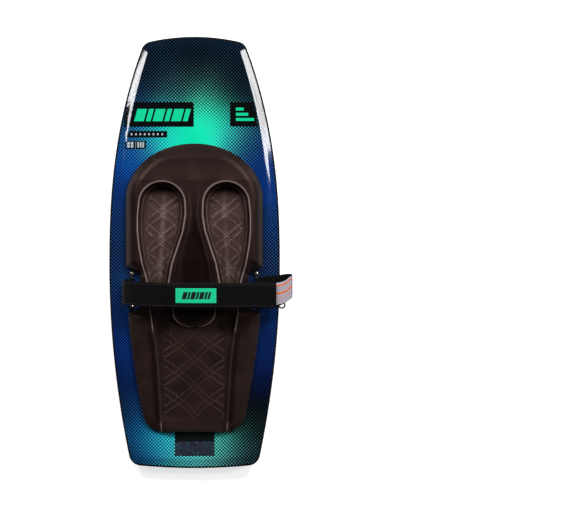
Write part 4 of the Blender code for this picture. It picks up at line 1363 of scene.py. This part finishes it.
@dataclass(frozen=True)
class StretchNeoprene:
    """Neoprene foam faced with knitted nylon: soft and matt, with a fine knit."""

    name: str = "neoprene_knit_faced"
    colour: str = "#141212"
    knit: float = 1.1 * MM

    def build(self) -> bpy.types.Material:
        """Build the material: a knit bump over near-black foam."""
        made, tree, shader, at = new_finish(self.name)
        waves = {"Vector": at, "Scale": WAVE_SCALE / self.knit, "Distortion": 1.5}
        knit = add_node(tree, "TexWave", waves, bands_direction="Y")
        relief = {"Height": knit.outputs["Fac"], "Strength": 0.35, "Distance": 0.25 * MM}
        bump = add_node(tree, "Bump", relief)
        tree.links.new(bump.outputs[0], shader.inputs["Normal"])
        base = linear(self.colour)
        lit = tuple(c * 1.6 for c in base[:3]) + (1.0,)
        colour = add_node(tree, "Mix", {0: knit.outputs["Fac"], 6: base, 7: lit}, data_type="RGBA")
        tree.links.new(colour.outputs[2], shader.inputs["Base Color"])
        shader.inputs["Roughness"].default_value = 0.8
        shader.inputs["Specular IOR Level"].default_value = 0.15
        shader.inputs["Sheen Weight"].default_value = 0.03
        return made


@dataclass(frozen=True)
class MouldedRubber:
    """Soft PVC patch, poured in a mould: even colour, faint dimples and a waxy shine."""

    name: str
    colour: str
    roughness: float = 0.42

    def build(self) -> bpy.types.Material:
        """Build the material: a solid colour, a touch darker where the surface dips, a painted shade in the
        dimples.
        """
        made, tree, shader, at = new_finish(self.name)
        dimple = add_node(tree, "TexNoise", {"Vector": at, "Scale": 260.0, "Detail": 3.0})
        bump = add_node(tree, "Bump", {"Height": dimple.outputs[0], "Strength": 0.08, "Distance": 0.2 * MM})
        tree.links.new(bump.outputs[0], shader.inputs["Normal"])
        base = linear(self.colour)
        # Painted shade: the colour is darker in the dimples' dips.
        deep = tuple(c * 0.88 for c in base[:3]) + (1.0,)
        colour = add_node(tree, "Mix", {0: dimple.outputs[0], 6: deep, 7: base}, data_type="RGBA")
        tree.links.new(colour.outputs[2], shader.inputs["Base Color"])
        shader.inputs["Roughness"].default_value = self.roughness
        return made


@dataclass
class Ribbon:
    """A flat band drawn across the board along a route, with rounded edges."""

    route: Array  # the middle plane's points, in metres
    width: float
    thickness: float
    columns: int = 17
    edge: float = 0.35  # how much of the thickness is left at the very edge
    crown: float = 0.0  # how far the middle stands proud of the edges
    ripple: float = 0.0

    def frame(self) -> tuple[Array, Array]:
        """Return each route point's normal, to the left of the way, and the distance run, in metres."""
        way = np.gradient(self.route, axis=0)
        normal = np.stack([-way[:, 2], np.zeros(len(way)), way[:, 0]], axis=1)
        normal /= np.linalg.norm(normal, axis=1, keepdims=True)
        run = np.concatenate([[0], np.cumsum(np.linalg.norm(np.diff(self.route, axis=0), axis=1))])
        return normal, run

    def surface(self, off: float, share: Array) -> Array:
        """Points of the band's surface.

        Args:
            off: height over the middle plane, as a share of half the thickness.
            share: places across the band, from -1 to 1.

        Returns:
            Rows along the route by columns across it.
        """
        normal, run = self.frame()
        profile = self.edge + (1 - self.edge) * (1 - np.abs(share) ** 6)
        rise = off * self.thickness / 2 * profile + self.crown * (1 - share**2) - self.crown
        wave = self.ripple * np.sin(run / 0.031)[:, None] * np.abs(share) ** 3
        return (
            self.route[:, None, :]
            + share[None, :, None] * np.array([0, self.width / 2, 0])
            + normal[:, None, :] * (rise[None, :, None] + wave[..., None])
        )

    def build(self, name: str, finish: bpy.types.Material) -> bpy.types.Object:
        """Weave the band.

        Args:
            name: the piece's name.
            finish: its material.

        Returns:
            The piece, with its run and across attributes in millimetres.
        """
        share = np.sin(np.linspace(-1, 1, self.columns) * np.pi / 2)
        top, low = self.surface(1, share), self.surface(-1, share)
        obj = closed_sheet(name, top, low, finish, 60)
        run = np.repeat(self.frame()[1][:, None], len(share), axis=1).ravel() / MM
        across = np.tile(share * self.width / 2, len(self.route)) / MM
        paint(obj, "run", np.concatenate([run, run]))
        paint(obj, "across", np.concatenate([across, across]))
        return obj

    def stitches(self, name: str, inset: float, finish: bpy.types.Material) -> bpy.types.Object:
        """Sew a row of thread along each edge of the outer face.

        Args:
            name: the piece's name.
            inset: how far in from the edge the rows run.
            finish: the thread.

        Returns:
            All the stitches as one piece.
        """
        pitch, length, radius = 5.0 * MM, 3.6 * MM, 0.45 * MM
        normal, run = self.frame()
        share = (self.width / 2 - inset) / (self.width / 2)
        line = self.surface(1, np.array([-share, share]))
        bm = bmesh.new()
        for k in range(2):
            for start in np.arange(4 * MM, run[-1] - 6 * MM, pitch):
                rings = []
                for part, lift in ((0.0, -0.2), (0.35, 0.7), (0.65, 0.7), (1.0, -0.2)):
                    s = start + part * length
                    middle = np.array([np.interp(s, run, line[:, k, c]) for c in range(3)])
                    up = np.array([np.interp(s, run, normal[:, c]) for c in range(3)])
                    middle = middle + up * radius * lift
                    ring = [
                        middle + np.array([0, 1, 0]) * radius * math.cos(a) + up * radius * 0.8 * math.sin(a)
                        for a in np.radians((0, 72, 144, 216, 288))
                    ]
                    rings.append([bm.verts.new(p) for p in ring])
                bridge(bm, rings, closed=False)
        bmesh.ops.recalc_face_normals(bm, faces=bm.faces)
        return piece_from(bm, name, finish, 70)


@dataclass
class ThighStrap:
    """The two halves of the strap, from the bars they turn round to where they lap over each other."""

    anchor_x: float = 192 * MM
    anchor_y: float = -114 * MM
    bar_z: float = 70 * MM
    bar_radius: float = 3 * MM
    slack: float = 0.4 * MM  # between the bar and the webbing round it
    width: float = 72 * MM
    web: float = 2.5 * MM  # the webbing's thickness
    liner: float = 5 * MM
    liner_width: float = 77 * MM
    hooks: float = 1.2 * MM  # thickness of the hook strip between the halves
    crown: float = 0.5 * MM
    ripple: float = 0.25 * MM
    arch: tuple[tuple[float, float, float], ...] = (
        (-219.5, -122, 92.6), (-216, -123, 106), (-200, -124, 121), (-160, -127, 137), (-90, -130, 152),
        (0, -131, 159), (90, -131, 155), (160, -131, 141), (215, -131, 126), (253, -131, 116),
    )
    left_base: tuple[tuple[float, float, float], ...] = (
        (-207, -117, 79.5), (-215, -120, 84), (-219.3, -121.5, 89),
    )
    right_base: tuple[tuple[float, float, float], ...] = (
        (225, -108, 71.5), (258, -105, 71), (285, -101, 75), (297.5, -101, 82.5),
    )
    right_fold: tuple[tuple[float, float, float], ...] = (
        (275, -121, 103.5), (292, -109, 100.5), (300.3, -103, 95.5), (301, -102, 92),
    )

    def loop(self, side: int) -> Array:
        """Route of the webbing round its anchor bar, ending where it leaves outboard over the bar."""
        radius = self.bar_radius + self.slack + self.web / 2
        angles = np.radians(np.linspace(-195, 63 if side < 0 else 84, 26))
        x = side * (self.anchor_x - radius * np.cos(angles))
        return np.stack([x, np.full_like(x, self.anchor_y), self.bar_z + radius * np.sin(angles)], axis=1)

    def shifted(self, route: Array, off: float) -> Array:
        """Move a route square to itself, to the left of its way."""
        return route + Ribbon(route, self.width, self.web).frame()[0] * off

    def upper_line(self) -> Array:
        """Route of the upper half over the thighs."""
        return through(np.array(self.arch) * MM, 150)

    def liner_line(self) -> Array:
        """Route of the liner under the upper half."""
        return self.shifted(self.upper_line(), -(self.web / 2 + GAP + self.liner / 2))

    def flap_line(self) -> Array:
        """Route of the lower half where it lies under the liner."""
        drop = self.web / 2 + GAP + self.liner + GAP + self.hooks + GAP + self.web / 2
        under = self.shifted(self.upper_line(), -drop)
        return under[(under[:, 0] > 70 * MM) & (under[:, 0] < 252 * MM)]

    def build(
        self, webbing: bpy.types.Material, foam: bpy.types.Material, thread: bpy.types.Material
    ) -> None:
        """Build both halves with their liner and stitching.

        Args:
            webbing: the straps' weave.
            foam: the liner's neoprene.
            thread: the stitching's yarn.
        """
        arch = self.upper_line()
        base = np.array(self.left_base) * MM
        left = through(np.vstack([self.loop(-1)[::2], base, arch[::6], arch[-1]]), 260)
        upper = Ribbon(left, self.width, self.web, crown=self.crown, ripple=self.ripple)
        self.hinge(upper.build("upper_strap", webbing), "left", "left_strap_base", "left_strap_web")
        self.hinge(upper.stitches("upper_strap_stitches", 4.5 * MM, thread), "left")

        padding = self.liner_line()
        padding = padding[(padding[:, 0] > -152 * MM) & (padding[:, 0] < 249 * MM)]
        liner = Ribbon(padding, self.liner_width, self.liner - 0.4 * MM, columns=25, edge=0.25)
        pad = liner.build("strap_padding", foam)
        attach(pad, Body.LEFT_STRAP.value)
        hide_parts("left_strap_liner")

        fold = np.array(self.right_fold) * MM
        base = np.array(self.right_base) * MM
        right = through(np.vstack([self.loop(1)[::2], base, fold[::-1], self.flap_line()[::-8]]), 260)
        lower = Ribbon(right, self.width, self.web, ripple=self.ripple)
        self.hinge(lower.build("lower_strap", webbing), "right", "right_strap_base", "right_strap_flap")
        LOG.info("wove both halves of the strap")

    def hinge(self, piece: bpy.types.Object, side: str, *nodes: str) -> None:
        """Fix a strap's placement in its mesh and hide the frame's nodes that it stands for.

        Args:
            piece: the strap, or what is sewn along it.
            side: left or right; not used.
            nodes: the frame's nodes that it stands for.
        """
        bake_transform(piece)
        if nodes:
            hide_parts(*nodes)


@dataclass
class StrapTrim:
    """What is sewn on the strap: the patch with its raised bars, the striped label and the pull loop."""

    strap: ThighStrap = field(default_factory=ThighStrap)
    patch: tuple[float, float] = (127 * MM, 45 * MM)
    patch_x: float = 8.5 * MM
    patch_y: float = -131 * MM
    patch_thickness: float = 1.3 * MM
    patch_lift: float = 0.6 * MM  # of its middle over the gap between it and the webbing
    bars: tuple[tuple[float, float], ...] = (
        (-44, 13), (-28, 7), (-18, 13), (-2, 7), (8, 13), (24, 7), (34, 7),
    )  # start and width of each, in millimetres
    bar_reach: float = 11  # millimetres either way of the patch's middle
    bar_lean: float = 6
    tape_width: float = 67 * MM
    tape_thickness: float = 0.5 * MM
    cord_radius: float = 2.6 * MM

    def build(
        self,
        rubber: bpy.types.Material,
        dark: bpy.types.Material,
        tape: bpy.types.Material,
        orange: bpy.types.Material,
        grey: bpy.types.Material,
    ) -> None:
        """Sew on the patch, the label and the loop.

        Args:
            rubber: the patch's colour.
            dark: the raised bars' colour.
            tape: the label's ground.
            orange: the label's stripes.
            grey: the label's fine lines.
        """
        lifted = self.strap.shifted(self.strap.upper_line(), self.strap.web / 2 + GAP + self.patch_lift)
        low, high = self.patch_x - self.patch[0] / 2, self.patch_x + self.patch[0] / 2
        on = lifted[(lifted[:, 0] > low) & (lifted[:, 0] < high)]
        ribbon = Ribbon(on, self.patch[1], self.patch_thickness, edge=0.5)
        patch = ribbon.build("moulded_patch", rubber)
        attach(patch, Body.LEFT_STRAP.value)
        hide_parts("strap_patch")
        reach = self.bar_reach
        bars = [block(start, -reach, start + wide, reach, self.bar_lean) for start, wide in self.bars]
        marks = piece_from(self.bars_on(lifted, bars, 0.95 * MM), "patch_bars", dark, 30)
        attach(marks, Body.LEFT_STRAP.value)
        self.label(tape, orange, grey)
        self.loop(dark)
        LOG.info("sewed on the patch, the label and the pull loop")

    def loop(self, finish: bpy.types.Material) -> None:
        """Bend the pull loop from a short piece of round cord.

        Args:
            finish: the cord's material.
        """
        radius = self.cord_radius
        low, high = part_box("pull_loop")
        middle = (Vector(low) + Vector(high)) / 2
        half = (Vector(high) - Vector(low)) / 2 - Vector((radius, radius, 0))
        slope = math.atan2(-(half.z - radius / 2), half.x)
        up = Vector((-math.sin(slope), 0, math.cos(slope)))
        round_it = np.linspace(0, 2 * np.pi, 10, endpoint=False)
        bm = bmesh.new()
        rings = []
        for turn in np.linspace(0, 2 * np.pi, 48, endpoint=False):
            level = math.cos(turn)
            out = Vector((level * math.cos(slope), math.sin(turn), level * math.sin(slope)))
            at = middle + Vector((out.x * half.x, out.y * half.y, out.z * half.x))
            ring = [at + (out * math.cos(a) + up * math.sin(a)) * radius for a in round_it]
            rings.append([bm.verts.new(point) for point in ring])
        bridge(bm, rings, closed=True)
        bmesh.ops.recalc_face_normals(bm, faces=bm.faces)
        cord = piece_from(bm, "pull_cord", finish, 60)
        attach(cord, Body.RIGHT_STRAP.value)
        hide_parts("pull_loop")

    def bars_on(
        self, route: Array, bars: list[tuple[tuple[float, float], ...]], lift: float
    ) -> bmesh.types.BMesh:
        """Raise flat-topped bars from the patch.

        Args:
            route: the patch's middle plane.
            bars: corners of each, in millimetres from the patch's middle.
            lift: height of their tops over the middle plane.

        Returns:
            The bars as closed blocks.
        """
        bm = bmesh.new()
        for corners in bars:
            tops, feet = [], []
            for x, y in corners:
                px = self.patch_x + x * MM
                py = self.patch_y + y * MM
                pz = float(np.interp(px, route[:, 0], route[:, 2]))
                tops.append(bm.verts.new((px, py, pz + lift)))
                feet.append(bm.verts.new((px, py, pz + GAP)))
            bm.faces.new(tops)
            bm.faces.new(feet[::-1])
            for k in range(4):
                n = (k + 1) % 4
                bm.faces.new((tops[k], feet[k], feet[n], tops[n]))
        return bm

    def label(self, tape: bpy.types.Material, orange: bpy.types.Material, grey: bpy.types.Material) -> None:
        """Lay the printed label over the fold, with stripes that are printed films of their own.

        Args:
            tape: the label's ground.
            orange: its stripes.
            grey: its fine lines.
        """
        strap = self.strap
        flap = through(np.vstack([strap.flap_line()[::8], np.array(strap.right_fold) * MM]), 200)
        on = strap.shifted(flap, strap.web / 2 + GAP + self.tape_thickness / 2)
        on = on[(on[:, 0] > 252.5 * MM) & (on[:, 2] > 97.5 * MM)]
        ground = Ribbon(on, self.tape_width, self.tape_thickness, edge=0.8)
        base = ground.build("fold_label", tape)
        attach(base, Body.RIGHT_STRAP.value)
        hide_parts("strap_label")
        for name, finish, stripes in (
            ("label_stripes", orange, ((27, 22), (3, -3), (-13, -14.5))),
            ("label_lines", grey, ((17, 16), (13, 12), (9, 8), (-7, -8), (-18, -19), (-22, -23), (-26, -27))),
        ):
            bm = bmesh.new()
            for high, low in stripes:
                share = np.array([low, high]) * MM / (self.tape_width / 2)
                films = zip(ground.surface(1.5, share), ground.surface(1.1, share))
                rows = [[bm.verts.new(p) for p in (a[0], a[1], b[1], b[0])] for a, b in films]
                bridge(bm, rows, closed=False)
            bmesh.ops.recalc_face_normals(bm, faces=bm.faces)
            piece = piece_from(bm, name, finish, 40)
            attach(piece, Body.RIGHT_STRAP.value)


# ---------------------------------------------------------------- fastenings and inner parts


@dataclass(frozen=True)
class TurnedSteel:
    """Stainless steel, turned and lightly brushed: bright, with fine rings of tool marks."""

    name: str = "stainless_steel_turned"
    colour: str = "#c9c8c6"
    roughness: float = 0.24

    def build(self) -> bpy.types.Material:
        """Build the material: bright metal whose gloss varies with its brushing."""
        made, tree, shader, at = new_finish(self.name)
        marks = add_node(tree, "TexNoise", {"Vector": at, "Scale": 1400.0, "Detail": 2.0})
        low, high = self.roughness - 0.08, self.roughness + 0.14
        gloss = add_node(tree, "MapRange", {0: marks.outputs[0], 3: low, 4: high})
        tree.links.new(gloss.outputs[0], shader.inputs["Roughness"])
        bump = add_node(tree, "Bump", {"Height": marks.outputs[0], "Strength": 0.06, "Distance": 0.1 * MM})
        tree.links.new(bump.outputs[0], shader.inputs["Normal"])
        shader.inputs["Base Color"].default_value = linear(self.colour)
        shader.inputs["Metallic"].default_value = 1.0
        return made


@dataclass(frozen=True)
class FoilTape:
    """Metallised polyester tape: a dark film whose lower half breaks the light into coloured chips."""

    name: str = "polyester_tape_metallised"
    chip: float = 3.2 * MM
    specks: tuple[float, float] = (9 * MM, 11 * MM)  # spacing across and along the board
    band_y: float = -580 * MM  # where the dark band starts

    def build(self) -> bpy.types.Material:
        """Build the material: chips of slate, violet and teal below a dark band with rows of specks."""
        made, tree, shader, at = new_finish(self.name)
        chips = add_node(tree, "TexVoronoi", {"Vector": at, "Scale": 1 / self.chip})
        tone = add_node(tree, "SeparateColor", {0: chips.outputs["Color"]})
        slate = add_node(
            tree, "Mix", {0: tone.outputs[0], 6: linear("#1a222c"), 7: linear("#453f56")}, data_type="RGBA"
        ).outputs[2]
        teal = add_node(tree, "Math", {0: tone.outputs[1], 1: 0.8}, operation="GREATER_THAN").outputs[0]
        mosaic = add_node(tree, "Mix", {0: teal, 6: slate, 7: linear("#2e5a62")}, data_type="RGBA").outputs[2]
        place = add_node(tree, "SeparateXYZ", {0: at})
        below = self.band_y - 4 * MM
        upper = add_node(tree, "MapRange", {0: place.outputs[1], 1: below, 2: self.band_y}).outputs[0]
        sines = []
        for out, pitch in zip(place.outputs, self.specks):
            wave = add_node(tree, "Math", {0: out, 1: 2 * math.pi / pitch}, operation="MULTIPLY").outputs[0]
            sines.append(add_node(tree, "Math", {0: wave}, operation="SINE").outputs[0])
        lattice = add_node(tree, "Math", {0: sines[0], 1: sines[1]}, operation="MULTIPLY").outputs[0]
        speck = add_node(tree, "MapRange", {0: lattice, 1: 0.55, 2: 0.8}).outputs[0]
        band = add_node(tree, "Mix", {0: speck, 6: linear("#07090b"), 7: linear("#2e4448")}, data_type="RGBA")
        colour = add_node(tree, "Mix", {0: upper, 6: mosaic, 7: band.outputs[2]}, data_type="RGBA")
        tree.links.new(colour.outputs[2], shader.inputs["Base Color"])
        shader.inputs["Roughness"].default_value = 0.3
        shader.inputs["Metallic"].default_value = 0.2
        return made


@dataclass(frozen=True)
class CellFoam:
    """Expanded foam with open-looking cells, cut and left rough."""

    name: str = "polyurethane_foam_cast"
    colour: str = "#e3d9b8"

    def build(self) -> bpy.types.Material:
        """Build the material: pale cells with darker walls."""
        made, tree, shader, at = new_finish(self.name)
        cells = add_node(tree, "TexVoronoi", {"Vector": at, "Scale": 500.0}, feature="DISTANCE_TO_EDGE")
        base = linear(self.colour)
        wall = tuple(c * 0.7 for c in base[:3]) + (1.0,)
        colour = add_node(tree, "Mix", {0: cells.outputs[0], 6: wall, 7: base}, data_type="RGBA")
        tree.links.new(colour.outputs[2], shader.inputs["Base Color"])
        shader.inputs["Roughness"].default_value = 0.9
        return made


@dataclass
class FrameParts:
    """The frame's own parts that keep their shape and take a better finish."""

    nodes: dict

    def dress(self) -> None:
        """Give every kept part its material."""
        coated = MouldedPlastic("steel_powder_coated", "#101113", 0.45, grain=0.9 * MM).build()
        nylon = MouldedPlastic("nylon_injection_moulded", "#121213", 0.5).build()
        steel = TurnedSteel().build()
        brass = TurnedSteel("brass_turned", "#c8a45c", 0.3).build()
        finishes = {"deck_label": FoilTape().build(), "foam_core": CellFoam().build()}
        finishes["right_hook_strip"] = nylon
        for side in ("left", "right"):
            finishes[f"{side}_bracket"] = coated
            finishes[f"{side}_insert_block"] = nylon
            for end in ("front", "rear"):
                finishes[f"{side}_{end}_screw"] = steel
                finishes[f"{side}_{end}_washer"] = nylon
                finishes[f"{side}_{end}_insert"] = brass
        for name, finish in finishes.items():
            mesh = self.nodes[name].data
            mesh.materials.clear()
            mesh.materials.append(finish)
            mesh.shade_smooth()
            mesh.set_sharp_from_angle(angle=math.radians(35))
            LOG.info("dressed %s in %s", name, finish.name)


# ---------------------------------------------------------------- studio


@dataclass
class Studio:
    """A pale floor, soft lamps to the sides and a camera straight above the board."""

    camera_at: tuple[float, float, float] = (0.307, -0.001, 9.0)
    frame_width: float = 1.812  # metres of deck across the frame
    sensor: float = 36.0

    def build(self) -> None:
        """Set the floor, the lamps and the camera."""
        self.floor()
        self.strip("strip_right", (3.4, 0.85, 1.85), (3.4, 1.12, 5.4), 0.46, 84)
        self.strip("strip_left", (-3.4, 1.08, 2.60), (-3.4, 1.05, 4.45), 0.14, 17)
        for name, x in (("box_nose_right", 2.26), ("box_nose_left", -2.26)):
            self.lamp(name, (x, 3.33, 3.4), (0.0, 0.1, 0.0), (1.6, 1.3), 147)
        self.air()
        self.camera()

    def floor(self) -> None:
        """Lay the pale floor that the board stands on."""
        bm = bmesh.new()
        bmesh.ops.create_grid(bm, x_segments=1, y_segments=1, size=9.0)
        made = bpy.data.materials.new("floor_painted_white")
        made.use_nodes = True
        shader = made.node_tree.nodes["Principled BSDF"]
        shader.inputs["Base Color"].default_value = linear("#fafafa")
        shader.inputs["Roughness"].default_value = 0.75
        shader.inputs["Emission Color"].default_value = linear("#ffffff")
        shader.inputs["Emission Strength"].default_value = 0.7
        floor = piece_from(bm, "floor", made)
        floor.location.z = -0.4 * MM

    @staticmethod
    def panel(name: str, size: tuple[float, float], power: float) -> bpy.types.Object:
        """Make a flat lamp.

        Args:
            name: the lamp's name.
            size: its width and height in metres.
            power: in watts.

        Returns:
            The lamp, not yet hung.
        """
        light = bpy.data.lights.new(name, "AREA")
        light.shape = "RECTANGLE"
        light.size, light.size_y = size
        light.energy = power
        lamp = bpy.data.objects.new(name, light)
        bpy.context.scene.collection.objects.link(lamp)
        return lamp

    def strip(self, name: str, low: Place, high: Place, width: float, power: float) -> None:
        """Hang a long upright lamp beside the board, facing across it.

        Args:
            name: the lamp's name.
            low: its lower end.
            high: its upper end.
            width: across it, in metres.
            power: in watts.
        """
        along = Vector(high) - Vector(low)
        middle = (Vector(high) + Vector(low)) / 2
        facing = Vector((math.copysign(1, middle.x), 0, 0))
        across = along.cross(facing).normalized()
        lamp = self.panel(name, (width, along.length), power)
        turn = Matrix((across, along.normalized(), across.cross(along.normalized()))).transposed()
        lamp.matrix_world = Matrix.Translation(middle) @ turn.to_4x4()

    def lamp(self, name: str, at: Place, to: Place, size: tuple[float, float], power: float) -> None:
        """Hang one soft box.

        Args:
            name: the lamp's name.
            at: where it hangs.
            to: where it points.
            size: its width and height in metres.
            power: in watts.
        """
        lamp = self.panel(name, size, power)
        lamp.location = at
        lamp.rotation_euler = (Vector(to) - Vector(at)).to_track_quat("-Z", "Y").to_euler()

    def air(self) -> None:
        """Fill the room with dim, even light."""
        world = bpy.data.worlds.new("room")
        bpy.context.scene.world = world
        world.use_nodes = True
        ground = world.node_tree.nodes["Background"]
        ground.inputs["Color"].default_value = linear("#e8eef4")
        ground.inputs["Strength"].default_value = 0.035

    def camera(self) -> None:
        """Set the camera looking straight down, with the nose at the top of the frame."""
        lens = bpy.data.cameras.new("camera")
        lens.sensor_width = self.sensor
        lens.lens = self.sensor * (self.camera_at[2] - FORM.deck_z) / self.frame_width
        lens.clip_end = 60
        camera = bpy.data.objects.new("camera", lens)
        camera.location = self.camera_at
        bpy.context.scene.collection.objects.link(camera)
        bpy.context.scene.camera = camera
        bpy.context.scene.view_settings.view_transform = "Standard"


def main() -> None:
    """Build every sub-assembly in order and report each piece."""
    logging.basicConfig(level=logging.INFO, format="%(message)s")
    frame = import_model()
    Studio().build()
    print_finish = PrintedSkin().build()
    seam_finish = MouldedPlastic("abs_extruded_black", "#050506", 0.6, shine=0.15).build()
    Board().build(print_finish, seam_finish)
    Graphics().build(
        FlatInk("ink_black", "#060708").build(),
        FlatInk("ink_mint", "#12d89c").build(),
        FlatInk("ink_pale", "#b9c4c8").build(),
    )
    KneePad().build(MouldedFoam().build())
    ThighStrap().build(
        WovenNylon().build(),
        StretchNeoprene().build(),
        WovenNylon("polyester_thread", "#2c2624", "#40383a").build(),
    )
    StrapTrim().build(
        MouldedRubber("pvc_moulded_mint", "#14dc9e").build(),
        MouldedRubber("pvc_moulded_black", "#0d1211").build(),
        FlatInk("polyester_satin_label", "#bdb3c0").build(),
        FlatInk("ink_orange", "#e8742c").build(),
        FlatInk("ink_grey", "#9a939c").build(),
    )
    FrameParts(frame["nodes"]).dress()


if __name__ == "__main__":
    main()
